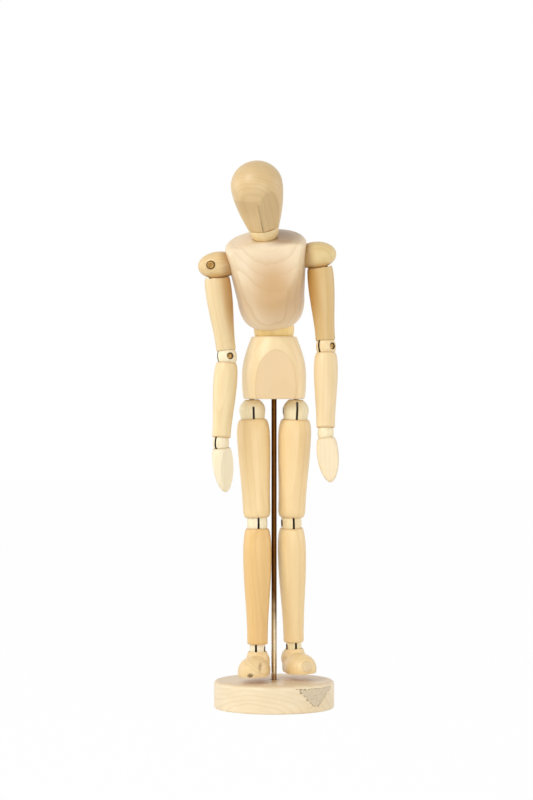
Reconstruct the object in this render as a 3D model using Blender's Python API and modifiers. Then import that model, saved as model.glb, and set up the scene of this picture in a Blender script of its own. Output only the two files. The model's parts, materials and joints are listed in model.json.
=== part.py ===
"""A jointed wooden drawing figure on a rod and a round base. Metres, +Z up, the figure faces -Y.

Every limb is hung on the one above it: a turned barrel or ball swivels on a spigot in the end of the
upper limb, and a steel link on the lower limb swings on a pin in the barrel's slit.
"""

import math

import bpy
from mathutils import Matrix, Vector

# Fits
CLEARANCE = 0.0003
PIN_FIT = 0.0002
LAND = 0.0002

# Stand
BASE_RADIUS = 0.0335
BASE_HEIGHT = 0.0155
BASE_EDGE = 0.0018
ROD_RADIUS = 0.0015
ROD_SEAT = 0.0115
ROD_ENTRY = 0.0140
FOOT_LIFT = 0.0036

# Pelvis and waist
PELVIS_HEIGHT = 0.0348
PELVIS_TOP_RADIUS = 0.0127
PELVIS_BELLY_RADIUS = 0.0179
PELVIS_BELLY_HEIGHT = 0.0130
PELVIS_BOTTOM_RADIUS = 0.0169
PELVIS_FLAT_BOTTOM = 0.0132
PELVIS_FLAT_TOP = 0.0161
WAIST_RADIUS = 0.0113
WAIST_SHOWN = 0.0078

# Chest and neck
CHEST_HEIGHT = 0.0501
CHEST_CROWN = 0.0007
CHEST_RADIUS = 0.0225
CHEST_EDGE = 0.0050
CHEST_WAIST_RADIUS = 0.0186
CHEST_WAIST_HEIGHT = 0.0150
CHEST_FLAT_TOP = 0.0095
CHEST_FLAT_BOTTOM = 0.0240
SHOULDER_HEIGHT = 0.0371
NECK_RADIUS = 0.0081
NECK_TOP = 0.0010
NECK_SHOWN_BELOW = 0.0048

# Head
HEAD_HEIGHT = 0.0381
HEAD_RIM_RADIUS = 0.0086
HEAD_RADIUS = 0.0142
HEAD_WIDEST = 0.0246
RIDGE_TOP = 0.0188
RIDGE_LOW_FRONT = 0.0083
RIDGE_TOP_FRONT = 0.0146
FACE_ANGLE = 26.0

# Springs
SPRING_RADIUS = 0.0021
SPRING_WIRE = 0.0004
BALL_BORE = 0.0048
SPRING_TURNS_PER_METRE = 190
WAIST_SPRING_REACH = 0.0190
NECK_SPRING_REACH = 0.0125
SHOULDER_SPRING_REACH = 0.0052
HIP_SPRING_LENGTH = 0.0110

# Links and pins
LINK_THICKNESS = 0.0005
LINK_WIDTH = 0.0038
LINK_SEAT = 0.0070
PIN_RADIUS = 0.0008
PIN_HEAD_RADIUS = 0.0015
PIN_HEAD_HEIGHT = 0.0006
PIN_HEAD_EDGE = 0.0003
PIN_HOLE_RADIUS = 0.0020
PIN_HOLE_DEPTH = 0.0016
SPIGOT_RADIUS = 0.0015
SPIGOT_LENGTH = 0.0040

# Arms
SHOULDER_PIN_REACH = 0.0311
SHOULDER_RADIUS = 0.0075
SHOULDER_LENGTH = 0.0184
SHOULDER_TIP = 0.0072
ARM_OFFSET = 0.0024
UPPER_ARM_LENGTH = 0.0508
UPPER_ARM_TOP = 0.0046
UPPER_ARM_RADIUS = 0.0073
UPPER_ARM_END_RADIUS = 0.0054
FOREARM_LENGTH = 0.0477
FOREARM_RADIUS = 0.0066
FOREARM_END_RADIUS = 0.0051
HAND_LENGTH = 0.0274
HAND_RADIUS = 0.0060
HAND_TIP_THICKNESS = 0.0030
HAND_ROOT_THICKNESS = 0.0090
HAND_TIP_POINT = 1.15

# Legs
HIP_REACH = 0.0121
HIP_RADIUS = 0.0074
HIP_EDGE_RADIUS = 0.0066
HIP_FLAT = 0.0064
HIP_DROP = 0.0046
HIP_SPIGOT_LENGTH = 0.0070
HIP_SLIT_TOP = {"right": 0.0025, "left": 0.0050}
THIGH_LENGTH = 0.0623
THIGH_RADIUS = 0.0092
THIGH_END_RADIUS = 0.0076
SHIN_LENGTH = 0.0700
SHIN_RADIUS = 0.0079
SHIN_END_RADIUS = 0.0057
FOOT_TOE = 0.0235
FOOT_HEEL = 0.0134
FOOT_RADIUS = 0.0084
FOOT_TIP_LENGTH = 0.0108
FOOT_WAIST_RADIUS = 0.0074
FOOT_AXIS_DROP = 0.0113
FOOT_SOLE_DROP = 0.0136
HEEL_RADIUS = 0.0053
HEEL_HEIGHT = 0.0126

# The pose: degrees at each joint
FIGURE_TURN = 4.0
WAIST_TURN, WAIST_TILT, WAIST_BEND = -4.0, -5.8, 22.0
NECK_TILT, HEAD_NOD, HEAD_TURN = -3.6, 2.5, -4.0
ARM_POSE = {
    "right": {"swing": -24.0, "raise": -1.5, "elbow_turn": -69.0, "elbow_bend": -12.0,
              "wrist_turn": 27.0, "wrist_bend": 14.0},
    "left": {"swing": -24.0, "raise": 1.5, "elbow_turn": -47.0, "elbow_bend": -6.3,
             "wrist_turn": -43.0, "wrist_bend": 6.0},
}
LEG_POSE = {
    "right": {"turn": 2.0, "lean": -2.3, "swing": -2.0, "knee_lean": 2.1, "knee_turn": 2.0,
              "knee_bend": 2.0, "ankle_turn": -19.0, "ankle_bend": 0.0},
    "left": {"turn": 2.0, "lean": 2.0, "swing": 2.5, "knee_lean": -4.1, "knee_turn": 8.0,
             "knee_bend": 2.5, "ankle_turn": 2.0, "ankle_bend": -5.0},
}

# Facets round a turned piece
LIMB_SEGMENTS = 14
BALL_SEGMENTS = 12
BODY_SEGMENTS = 20
BASE_SEGMENTS = 36
PIN_SEGMENTS = 8
ARC_STEPS = 3

SIDES = {"right": -1, "left": 1}


class Barrel:
    """A turned barrel that lies inside a ball, with the cups that its neighbours have for it."""

    def __init__(self, radius, edge_radius, shown):
        self.radius = radius
        self.edge_radius = edge_radius
        self.half = shown / 2
        self.ball = math.hypot(edge_radius, self.half)
        self.cup = self.ball + CLEARANCE
        self.rim = math.sqrt(self.cup ** 2 - self.half ** 2) + LAND


ELBOW = Barrel(radius=0.0055, edge_radius=0.0047, shown=0.0072)
WRIST = Barrel(radius=0.0045, edge_radius=0.0039, shown=0.0058)
KNEE = Barrel(radius=0.00575, edge_radius=0.00545, shown=0.0060)
ANKLE = Barrel(radius=0.0044, edge_radius=0.0041, shown=0.0056)

JOINTS = {}


# Scene, materials and placing

def clear_scene():
    for item in list(bpy.data.objects):
        bpy.data.objects.remove(item, do_unlink=True)


def make_collection(name):
    collection = bpy.data.collections.new(name)
    bpy.context.scene.collection.children.link(collection)
    return collection


def make_material(name, colour, roughness, metallic):
    material = bpy.data.materials.new(name)
    material.use_nodes = True
    shader = material.node_tree.nodes["Principled BSDF"]
    shader.inputs["Base Color"].default_value = (*colour, 1.0)
    shader.inputs["Roughness"].default_value = roughness
    shader.inputs["Metallic"].default_value = metallic
    return material


clear_scene()
FIGURE = make_collection("drawing_figure")
CUTTERS = make_collection("cutters")
LIME_WOOD = make_material("lime_wood", (0.80, 0.61, 0.37), 0.5, 0.0)
BASE_WOOD = make_material("base_wood", (0.72, 0.55, 0.37), 0.55, 0.0)
STEEL = make_material("steel", (0.42, 0.38, 0.33), 0.35, 1.0)
DARK_STEEL = make_material("dark_steel", (0.20, 0.16, 0.12), 0.45, 1.0)


def turn(axis, degrees):
    return Matrix.Rotation(math.radians(degrees), 4, axis)


def shift(x=0.0, y=0.0, z=0.0):
    return Matrix.Translation((x, y, z))


def make_frame(name, parent, place):
    """An empty on a joint's centre. place is where it stands against its parent."""
    frame = bpy.data.objects.new(name, None)
    frame.empty_display_size = 0.004
    FIGURE.objects.link(frame)
    frame.parent = parent
    frame.matrix_basis = place
    return frame


def joint(name, parent, place, axis, degrees):
    """The frame of a moving body, turned by the pose. Its joint's axis is the frame's own axis."""
    frame = make_frame(name + "_joint", parent, place @ turn(axis, degrees))
    JOINTS[name] = (frame, {"X": Vector((1, 0, 0)), "Y": Vector((0, 1, 0)), "Z": Vector((0, 0, 1))}[axis])
    return frame


def place_piece(name, data, parent, place, material):
    piece = bpy.data.objects.new(name, data)
    FIGURE.objects.link(piece)
    piece.parent = parent
    piece.matrix_basis = place
    data.materials.append(material)
    return piece


def hide_cutter(cutter, parent, place):
    CUTTERS.objects.link(cutter)
    cutter.parent = parent
    cutter.matrix_basis = place
    cutter.hide_render = True
    cutter.display_type = "WIRE"
    return cutter


# Turned shapes

def profile_mesh(name, outline):
    """The outline, as (radius, height) from the top down, as an edge chain in the XZ plane."""
    mesh = bpy.data.meshes.new(name)
    points = [(radius, 0.0, height) for radius, height in outline]
    mesh.from_pydata(points, [(i, i + 1) for i in range(len(points) - 1)], [])
    return mesh


def spin_profile(piece, segments):
    screw = piece.modifiers.new("turned", "SCREW")
    screw.axis = "Z"
    screw.angle = math.tau
    screw.steps = segments
    screw.render_steps = segments
    screw.use_merge_vertices = True
    screw.merge_threshold = 0.00001
    screw.use_smooth_shade = True


def turned(name, outline, parent, material, place=Matrix.Identity(4), segments=LIMB_SEGMENTS):
    piece = place_piece(name, profile_mesh(name, outline), parent, place, material)
    spin_profile(piece, segments)
    return piece


def turned_cutter(name, outline, parent, place=Matrix.Identity(4), segments=LIMB_SEGMENTS):
    cutter = hide_cutter(bpy.data.objects.new(name, profile_mesh(name, outline)), parent, place)
    spin_profile(cutter, segments)
    return cutter


def box_cutter(name, low, high, parent, place=Matrix.Identity(4)):
    bpy.ops.mesh.primitive_cube_add(size=1.0)
    cutter = bpy.context.object
    cutter.name = name
    size = [b - a for a, b in zip(low, high)]
    middle = [(a + b) / 2 for a, b in zip(low, high)]
    cutter.data.transform(Matrix.Translation(middle) @ Matrix.Diagonal((*size, 1.0)))
    for collection in list(cutter.users_collection):
        collection.objects.unlink(cutter)
    return hide_cutter(cutter, parent, place)


def combine(piece, tool, operation):
    boolean = piece.modifiers.new(tool.name, "BOOLEAN")
    boolean.operation = operation
    boolean.solver = "EXACT"
    boolean.object = tool


def subtract(piece, cutter):
    combine(piece, cutter, "DIFFERENCE")


def arc(radius, centre, start, end, steps=ARC_STEPS):
    """Points on a circle round (0, centre), from one angle above the horizontal to another, in radians."""
    angles = [start + (end - start) * i / steps for i in range(steps + 1)]
    return [(radius * math.cos(a), centre + radius * math.sin(a)) for a in angles]


def rounded(start, end, flat_first, steps=ARC_STEPS):
    """A quarter ellipse between two points. flat_first leaves the start level and ends upright."""
    points = []
    for i in range(1, steps + 1):
        angle = math.pi / 2 * i / steps
        across = math.sin(angle) if flat_first else 1 - math.cos(angle)
        along = 1 - math.cos(angle) if flat_first else math.sin(angle)
        points.append((start[0] + (end[0] - start[0]) * across, start[1] + (end[1] - start[1]) * along))
    return points


def eased(start, end, steps=ARC_STEPS):
    """A slim S from one upright tangent to another."""
    points = []
    for i in range(1, steps + 1):
        share = i / steps
        ease = math.sin(math.pi / 2 * share) ** 2
        points.append((start[0] + (end[0] - start[0]) * ease, start[1] + (end[1] - start[1]) * share))
    return points


def cup_down(radius, centre, mouth_height, bore_radius, bore_end):
    """A cup that opens upwards, from the axis out to its mouth, with a bore in its bottom."""
    deepest = -math.acos(bore_radius / radius)
    mouth = math.asin((mouth_height - centre) / radius)
    return [(0.0, bore_end), (bore_radius, bore_end)] + arc(radius, centre, deepest, mouth)


def cup_up(radius, centre, mouth_height, bore_radius, bore_end):
    """A cup that opens downwards, from its mouth in to the axis, with a bore in its top."""
    mouth = math.asin((mouth_height - centre) / radius)
    deepest = math.acos(bore_radius / radius)
    return arc(radius, centre, mouth, deepest) + [(bore_radius, bore_end), (0.0, bore_end)]


def plain_cup(radius, mouth_height):
    """A cup round the frame's centre that opens upwards, without a bore."""
    return arc(radius, 0.0, -math.pi / 2, math.asin(mouth_height / radius))


def limb_side(top, belly, end, foot):
    """The outer side of a limb from its top rim, over its belly, to its rounded lower rim."""
    return [top] + rounded(top, belly, True) + eased(belly, end) + rounded(end, foot, False, 2)


def spigot_bore(length, barrel):
    """The end of the bore that takes a barrel's spigot, in the frame of the limb above it."""
    return -length + barrel.ball + SPIGOT_LENGTH + CLEARANCE


# Pins, links and springs

def pin_along_x(name, parent, reach, head_side, hole_radius=PIN_HOLE_RADIUS, spin=None):
    """A pin and its stepped blind hole. The head lies at head_side of the frame's X axis."""
    place = (spin or Matrix.Identity(4)) @ turn("Y", 90.0 * head_side)
    seat = reach - PIN_HOLE_DEPTH
    head = seat + PIN_FIT
    end = -seat
    head_outline = [
        (0.0, head + PIN_HEAD_HEIGHT),
        (PIN_HEAD_RADIUS - PIN_HEAD_EDGE, head + PIN_HEAD_HEIGHT),
        (PIN_HEAD_RADIUS, head + PIN_HEAD_HEIGHT - PIN_HEAD_EDGE),
        (PIN_HEAD_RADIUS, head),
        (PIN_RADIUS, head),
        (PIN_RADIUS, end),
        (0.0, end),
    ]
    turned(name, head_outline, parent, STEEL, place, PIN_SEGMENTS)
    hole_outline = [
        (0.0, reach * 2),
        (hole_radius, reach * 2),
        (hole_radius, seat),
        (PIN_RADIUS + PIN_FIT, seat),
        (PIN_RADIUS + PIN_FIT, end - PIN_FIT),
        (0.0, end - PIN_FIT),
    ]
    return turned_cutter(name + "_hole", hole_outline, parent, place, PIN_SEGMENTS)


def link_outline(length):
    """A strip with a round eye end at the origin, running down to its square end."""
    half = LINK_WIDTH / 2
    steps = 6
    angles = [math.pi * i / steps for i in range(steps + 1)]
    eye = [(half * math.cos(a), half * math.sin(a)) for a in angles]
    return eye + [(-half, -length), (half, -length)]


def closed_spline(curve, points):
    spline = curve.splines.new("POLY")
    spline.points.add(len(points) - 1)
    for point, (x, y) in zip(spline.points, points):
        point.co = (x, y, 0.0, 1.0)
    spline.use_cyclic_u = True


def link_in_yz(name, parent, length, spin=None):
    """A flat steel link in the frame's YZ plane, with its eye on the frame's centre."""
    curve = bpy.data.curves.new(name, "CURVE")
    curve.dimensions = "2D"
    curve.fill_mode = "BOTH"
    curve.extrude = LINK_THICKNESS / 2
    closed_spline(curve, link_outline(length))
    eye_radius = PIN_RADIUS + CLEARANCE
    turns = [math.tau * i / PIN_SEGMENTS for i in range(PIN_SEGMENTS)]
    closed_spline(curve, [(eye_radius * math.cos(a), eye_radius * math.sin(a)) for a in turns])
    upright = Matrix(((0, 0, 1, 0), (1, 0, 0, 0), (0, 1, 0, 0), (0, 0, 0, 1)))
    return place_piece(name, curve, parent, (spin or Matrix.Identity(4)) @ upright, DARK_STEEL)


def mortise_cutter(name, parent, top, bottom, spin=None):
    """The slot in a limb that takes the lower end of its link."""
    across = LINK_THICKNESS / 2 + CLEARANCE
    along = LINK_WIDTH / 2 + CLEARANCE
    low, high = (-across, -along, bottom - CLEARANCE), (across, along, top)
    return box_cutter(name, low, high, parent, spin or Matrix.Identity(4))


def slit_cutter(name, parent, bottom, top, reach):
    """The slit of a barrel, open in front, behind and below."""
    across = LINK_THICKNESS / 2 + CLEARANCE
    return box_cutter(name, (-across, -reach, bottom), (across, reach, top), parent)


def coil(name, route, length, parent, place):
    """A coil whose middle follows route, which gives a point for each share of the way."""
    points_per_turn = 8
    count = max(3, round(length * SPRING_TURNS_PER_METRE)) * points_per_turn
    curve = bpy.data.curves.new(name, "CURVE")
    curve.dimensions = "3D"
    curve.bevel_depth = SPRING_WIRE
    curve.bevel_resolution = 0
    curve.use_fill_caps = True
    spline = curve.splines.new("POLY")
    spline.points.add(count)
    for i, point in enumerate(spline.points):
        share = i / count
        ahead = (route(min(1.0, share + 0.01)) - route(max(0.0, share - 0.01))).normalized()
        first = Vector((0.0, 1.0, 0.0)).cross(ahead).normalized()
        second = ahead.cross(first)
        angle = math.tau * i / points_per_turn
        offset = first * math.cos(angle) + second * math.sin(angle)
        point.co = (*(route(share) + offset * SPRING_RADIUS), 1.0)
    return place_piece(name, curve, parent, place, STEEL)


def straight_spring(name, start, end, parent, place):
    low, high = Vector((0, 0, start + SPRING_WIRE)), Vector((0, 0, end - SPRING_WIRE))
    return coil(name, lambda share: low.lerp(high, share), end - start, parent, place)


def bent_spring(name, reach, ball, low_lean, high_lean, parent):
    """A spring through a ball: straight in both bores and bent inside the ball."""
    low, high = low_lean.to_3x3() @ Vector((0, 0, -1)), high_lean.to_3x3() @ Vector((0, 0, 1))
    end = reach - SPRING_WIRE

    def route(share):
        along = (2 * share - 1) * end
        if along < -ball:
            return low * -along
        if along > ball:
            return high * along
        share_in_ball = (along + ball) / (2 * ball)
        return low * ball * (1 - share_in_ball) ** 2 + high * ball * share_in_ball ** 2

    return coil(name, route, 2 * reach, parent, Matrix.Identity(4))


SPRING_BORE = SPRING_RADIUS + SPRING_WIRE + CLEARANCE


# Barrels, shared by elbows, wrists, knees and ankles

def barrel_outline(barrel):
    """The spigot, the upper cap, the bulged band that shows, and the lower cap."""
    cap_start = math.acos(SPIGOT_RADIUS / barrel.ball)
    cap_end = math.asin(barrel.half / barrel.ball)
    top = barrel.ball + SPIGOT_LENGTH
    band_steps = 4
    band = []
    for i in range(1, band_steps):
        share = 1 - 2 * i / band_steps
        bulge = (barrel.radius - barrel.edge_radius) * (1 - share ** 2)
        band.append((barrel.edge_radius + bulge, barrel.half * share))
    return (
        [(0.0, top), (SPIGOT_RADIUS, top)]
        + arc(barrel.ball, 0.0, cap_start, cap_end, 2)
        + band
        + arc(barrel.ball, 0.0, -cap_end, -math.pi / 2, 2)
    )


def make_barrel(name, barrel, frame, head_side, hole_radius=PIN_HOLE_RADIUS):
    piece = turned(name, barrel_outline(barrel), frame, LIME_WOOD, segments=BALL_SEGMENTS)
    subtract(piece, slit_cutter(name + "_slit", frame, -2 * barrel.ball, barrel.half, 2 * barrel.ball))
    subtract(piece, pin_along_x(name + "_pin", frame, barrel.radius, head_side, hole_radius))
    return piece


def hang_link(name, limb, frame, cup_radius):
    """The link that hangs a limb from the pin at its top, and the slot it is fixed in."""
    length = cup_radius + LINK_SEAT
    link_in_yz(name, frame, length)
    subtract(limb, mortise_cutter(name + "_mortise", frame, 0.0, -length))


# Stand and trunk

def pelvis_height():
    """The underside of the pelvis: the straight leg's reach above soles that clear the base."""
    leg = HIP_FLAT + CLEARANCE + THIGH_LENGTH + SHIN_LENGTH + FOOT_SOLE_DROP
    return BASE_HEIGHT + FOOT_LIFT + leg


def build_stand():
    edge = BASE_EDGE
    hole = ROD_RADIUS + PIN_FIT
    hole_end = BASE_HEIGHT - ROD_SEAT - PIN_FIT
    outline = (
        [(0.0, hole_end), (hole, hole_end), (hole, BASE_HEIGHT)]
        + [(BASE_RADIUS - edge, BASE_HEIGHT)]
        + rounded((BASE_RADIUS - edge, BASE_HEIGHT), (BASE_RADIUS, BASE_HEIGHT - edge), True)
        + [(BASE_RADIUS, edge / 2), (BASE_RADIUS - edge / 2, 0.0), (0.0, 0.0)]
    )
    root = make_frame("stand", None, Matrix.Identity(4))
    turned("base_disc", outline, root, BASE_WOOD, segments=BASE_SEGMENTS)
    low, high = BASE_HEIGHT - ROD_SEAT, pelvis_height() + ROD_ENTRY
    rod = [(0.0, high), (ROD_RADIUS, high), (ROD_RADIUS, low), (0.0, low)]
    turned("support_rod", rod, root, STEEL, segments=BALL_SEGMENTS)
    return root


def pelvis_outline(waist_height, cup):
    rim = math.sqrt(cup ** 2 - (PELVIS_HEIGHT - waist_height) ** 2)
    bore_end = waist_height - WAIST_SPRING_REACH - CLEARANCE
    belly = (PELVIS_BELLY_RADIUS, PELVIS_BELLY_HEIGHT)
    shoulder = (max(PELVIS_TOP_RADIUS, rim + LAND), PELVIS_HEIGHT)
    side = []
    steps = 5
    for i in range(1, steps + 1):
        share = i / steps
        ease = math.sin(math.pi / 2 * share)
        radius = shoulder[0] + (belly[0] - shoulder[0]) * ease
        side.append((radius, shoulder[1] + (belly[1] - shoulder[1]) * share))
    edge = LAND * 2
    hole = ROD_RADIUS + CLEARANCE
    hole_end = ROD_ENTRY + CLEARANCE
    return (
        cup_down(cup, waist_height, PELVIS_HEIGHT, SPRING_BORE, bore_end)
        + [shoulder]
        + side
        + rounded(belly, (PELVIS_BOTTOM_RADIUS, edge), False)
        + [(PELVIS_BOTTOM_RADIUS - edge, 0.0), (hole, 0.0), (hole, hole_end), (0.0, hole_end)]
    )


def front_cut(name, parent, low_point, high_point, size):
    """A flat cut on the front: a block whose near face passes two (distance in front, height) points."""
    rise = high_point[1] - low_point[1]
    lean = math.degrees(math.atan2(high_point[0] - low_point[0], rise))
    place = shift(0.0, -low_point[0], low_point[1]) @ turn("X", lean)
    return box_cutter(name, (-size, -size, -size), (size, 0.0, 2 * size), parent, place)


def build_pelvis(root):
    frame = joint("figure_turn", root, shift(z=pelvis_height()), "Z", FIGURE_TURN)
    waist_height = PELVIS_HEIGHT + WAIST_SHOWN / 2
    cup = WAIST_RADIUS + CLEARANCE
    pelvis = turned("pelvis", pelvis_outline(waist_height, cup), frame, LIME_WOOD, segments=BODY_SEGMENTS)
    low, high = (PELVIS_FLAT_BOTTOM, 0.0), (PELVIS_FLAT_TOP, PELVIS_HEIGHT)
    subtract(pelvis, front_cut("pelvis_front", frame, low, high, 2 * PELVIS_BELLY_RADIUS))
    return frame, pelvis


def ball_outline(radius, bore):
    """A ball with a straight bore through it, as a ring: down the outside and up the bore."""
    half = math.acos(bore / radius)
    outside = arc(radius, 0.0, half, -half, 6)
    return outside + [outside[0]]


def build_waist(pelvis_frame):
    waist_height = PELVIS_HEIGHT + WAIST_SHOWN / 2
    spring_frame = joint("waist_turn", pelvis_frame, shift(z=waist_height), "Z", WAIST_TURN)
    lean = turn("Y", WAIST_TILT) @ turn("X", WAIST_BEND)
    bent_spring("waist_spring", WAIST_SPRING_REACH, WAIST_RADIUS, Matrix.Identity(4), lean, spring_frame)
    frame = joint("waist_tilt", spring_frame, Matrix.Identity(4), "Y", WAIST_TILT)
    half_way = turn("X", WAIST_BEND / 2)
    turned("waist", ball_outline(WAIST_RADIUS, BALL_BORE), frame, LIME_WOOD, half_way, BODY_SEGMENTS)
    return frame


def chest_outline(neck_height):
    """The chest from the neck's cup over its shoulders and down its taper to the waist's cup."""
    cup = WAIST_RADIUS + CLEARANCE
    rim_height = WAIST_SHOWN / 2
    rim = math.sqrt(cup ** 2 - rim_height ** 2) + LAND
    neck_cup = NECK_RADIUS + CLEARANCE
    neck_mouth = neck_height - NECK_SHOWN_BELOW
    neck_rim = math.sqrt(neck_cup ** 2 - NECK_SHOWN_BELOW ** 2)
    edge_top = rim_height + CHEST_HEIGHT - CHEST_EDGE / 4
    widest = (CHEST_RADIUS, rim_height + CHEST_HEIGHT - CHEST_EDGE)
    narrow = (CHEST_WAIST_RADIUS, rim_height + CHEST_WAIST_HEIGHT)
    taper = [
        (widest[0] + (narrow[0] - widest[0]) * share, widest[1] + (narrow[1] - widest[1]) * share)
        for share in (0.35, 0.7, 1.0)
    ]
    bore_end = neck_height - NECK_SPRING_REACH - CLEARANCE
    half_way = ((neck_rim + CHEST_RADIUS) / 2, (neck_mouth + edge_top) / 2 + CHEST_CROWN)
    return (
        cup_down(neck_cup, neck_height, neck_mouth, SPRING_BORE, bore_end)
        + [half_way, (CHEST_RADIUS - CHEST_EDGE, edge_top)]
        + rounded((CHEST_RADIUS - CHEST_EDGE, edge_top), widest, True)
        + taper
        + rounded(narrow, (rim, rim_height), False, 4)
        + cup_up(cup, 0.0, rim_height, SPRING_BORE, WAIST_SPRING_REACH + CLEARANCE)
    )


def shoulder_height():
    return WAIST_SHOWN / 2 + SHOULDER_HEIGHT


def shoulder_face():
    """How far out the inner face of a shoulder lies from the middle of the chest."""
    return SHOULDER_PIN_REACH + SHOULDER_TIP - SHOULDER_LENGTH


def build_chest(waist_frame):
    frame = joint("waist_bend", waist_frame, Matrix.Identity(4), "X", WAIST_BEND)
    neck_height = WAIST_SHOWN / 2 + CHEST_HEIGHT + NECK_SHOWN_BELOW
    chest = turned("chest", chest_outline(neck_height), frame, LIME_WOOD, segments=BODY_SEGMENTS)
    low = (CHEST_FLAT_BOTTOM, WAIST_SHOWN / 2)
    high = (CHEST_FLAT_TOP, WAIST_SHOWN / 2 + CHEST_HEIGHT)
    subtract(chest, front_cut("chest_front", frame, low, high, 3 * CHEST_RADIUS))
    seat = shoulder_face() - CLEARANCE
    pocket = SHOULDER_RADIUS + CLEARANCE
    far = 2 * CHEST_RADIUS
    across = [
        (0.0, far), (pocket, far), (pocket, seat), (SPRING_BORE, seat),
        (SPRING_BORE, -seat), (pocket, -seat), (pocket, -far), (0.0, -far),
    ]
    place = shift(z=shoulder_height()) @ turn("Y", 90.0)
    subtract(chest, turned_cutter("shoulder_bore", across, frame, place))
    reach = shoulder_face() + SHOULDER_SPRING_REACH
    straight_spring("shoulder_spring", -reach, reach, frame, place)
    return frame, neck_height


def head_outline():
    """The egg of the head from its crown down to its flat underside on the neck."""
    rim_height = NECK_TOP + CLEARANCE
    widest = rim_height + HEAD_WIDEST
    crown = rim_height + HEAD_HEIGHT - widest
    outline = []
    for i in range(6):
        angle = math.pi / 2 * i / 5
        outline.append((HEAD_RADIUS * math.sin(angle), widest + crown * math.cos(angle)))
    steps = 6
    for i in range(1, steps + 1):
        share = i / steps
        ease = 1 - math.cos(math.pi / 2 * share)
        blend = 0.5 * ease + 0.5 * share ** 1.6
        radius = HEAD_RADIUS + (HEAD_RIM_RADIUS - HEAD_RADIUS) * blend
        outline.append((radius, widest + (rim_height - widest) * share))
    bore_end = NECK_SPRING_REACH + CLEARANCE
    return outline + [(SPRING_BORE, rim_height), (SPRING_BORE, bore_end), (0.0, bore_end)]


def face_cut(name, frame, side):
    """One of the two flats of the face. Both pass the ridge line down the middle of the front."""
    rim_height = NECK_TOP + CLEARANCE
    ridge_low = Vector((0.0, -RIDGE_LOW_FRONT, rim_height))
    ridge_high = Vector((0.0, -RIDGE_TOP_FRONT, rim_height + RIDGE_TOP))
    up = (ridge_high - ridge_low).normalized()
    ahead = Vector((side * math.sin(math.radians(FACE_ANGLE)), -math.cos(math.radians(FACE_ANGLE)), 0.0))
    normal = (ahead - up * ahead.dot(up)).normalized()
    across = up.cross(normal)
    place = Matrix((across, normal, up)).transposed().to_4x4()
    place.translation = ridge_low
    size = 2 * HEAD_RADIUS
    return box_cutter(name, (-size, 0.0, -size), (size, size, 2 * size), frame, place)


def neck_outline():
    """The lower part of a ball with a flat top, bored for the spring: down the outside and up the bore."""
    top, bottom = math.asin(NECK_TOP / NECK_RADIUS), -math.acos(BALL_BORE / NECK_RADIUS)
    flat = [(BALL_BORE, NECK_TOP)]
    return flat + arc(NECK_RADIUS, 0.0, top, bottom, 5) + flat


def build_neck_and_head(chest_frame, neck_height):
    spring_frame = joint("neck_tilt", chest_frame, shift(z=neck_height), "Y", NECK_TILT)
    low_lean, high_lean = turn("Y", -NECK_TILT), turn("X", HEAD_NOD)
    bent_spring("neck_spring", NECK_SPRING_REACH, NECK_RADIUS, low_lean, high_lean, spring_frame)
    neck_frame = joint("head_nod", spring_frame, Matrix.Identity(4), "X", HEAD_NOD)
    turned("neck", neck_outline(), neck_frame, LIME_WOOD, segments=BODY_SEGMENTS)
    frame = joint("head_turn", neck_frame, Matrix.Identity(4), "Z", HEAD_TURN)
    head = turned("head", head_outline(), frame, LIME_WOOD, segments=BODY_SEGMENTS)
    for name, side in SIDES.items():
        subtract(head, face_cut(name + "_face", frame, side))


# Arms

def shoulder_egg():
    """The shoulder from its outer tip to its inner face. Its pin is at the origin."""
    half = SHOULDER_LENGTH * 0.62
    middle = SHOULDER_TIP - half
    face = SHOULDER_TIP - SHOULDER_LENGTH
    last = math.acos((face - middle) / half)
    steps = 8
    angles = [last * i / steps for i in range(steps + 1)]
    return [(SHOULDER_RADIUS * math.sin(a), middle + half * math.cos(a)) for a in angles]


def build_shoulder(side_name, side, chest_frame, pose):
    place = shift(side * SHOULDER_PIN_REACH, 0.0, shoulder_height())
    frame = joint(side_name + "_shoulder_swing", chest_frame, place, "X", pose["swing"])
    outward = turn("Y", 90.0 * side)
    face = SHOULDER_TIP - SHOULDER_LENGTH
    bore_end = face + SHOULDER_SPRING_REACH + CLEARANCE
    outline = shoulder_egg() + [(SPRING_BORE, face), (SPRING_BORE, bore_end), (0.0, bore_end)]
    shoulder = turned(side_name + "_shoulder", outline, frame, LIME_WOOD, outward, BALL_SEGMENTS)
    across = LINK_THICKNESS / 2 + CLEARANCE
    roof = LINK_WIDTH / 2 + 2 * CLEARANCE
    reach = 2 * SHOULDER_RADIUS
    inner, outer = sorted((-side * roof, side * reach))
    low, high = (inner, -across, -reach), (outer, across, roof)
    subtract(shoulder, box_cutter(side_name + "_shoulder_slit", low, high, frame))
    pin_name, head_turn = side_name + "_shoulder_pin", turn("Z", -90.0)
    hole = pin_along_x(pin_name, frame, SHOULDER_RADIUS, -side, PIN_HOLE_RADIUS, head_turn)
    subtract(shoulder, hole)
    return frame


def saddle_cutter(name, radius, half_width, middle, frame):
    """A round or oval bar from front to back, which leaves a saddle in the top of an arm."""
    deep = 2 * SHOULDER_RADIUS
    bar = [(0.0, deep), (radius, deep), (radius, -deep), (0.0, -deep)]
    place = shift(middle) @ Matrix.Diagonal((half_width / radius, 1.0, 1.0, 1.0)) @ turn("X", 90.0)
    return turned_cutter(name, bar, frame, place, BODY_SEGMENTS)


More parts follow.
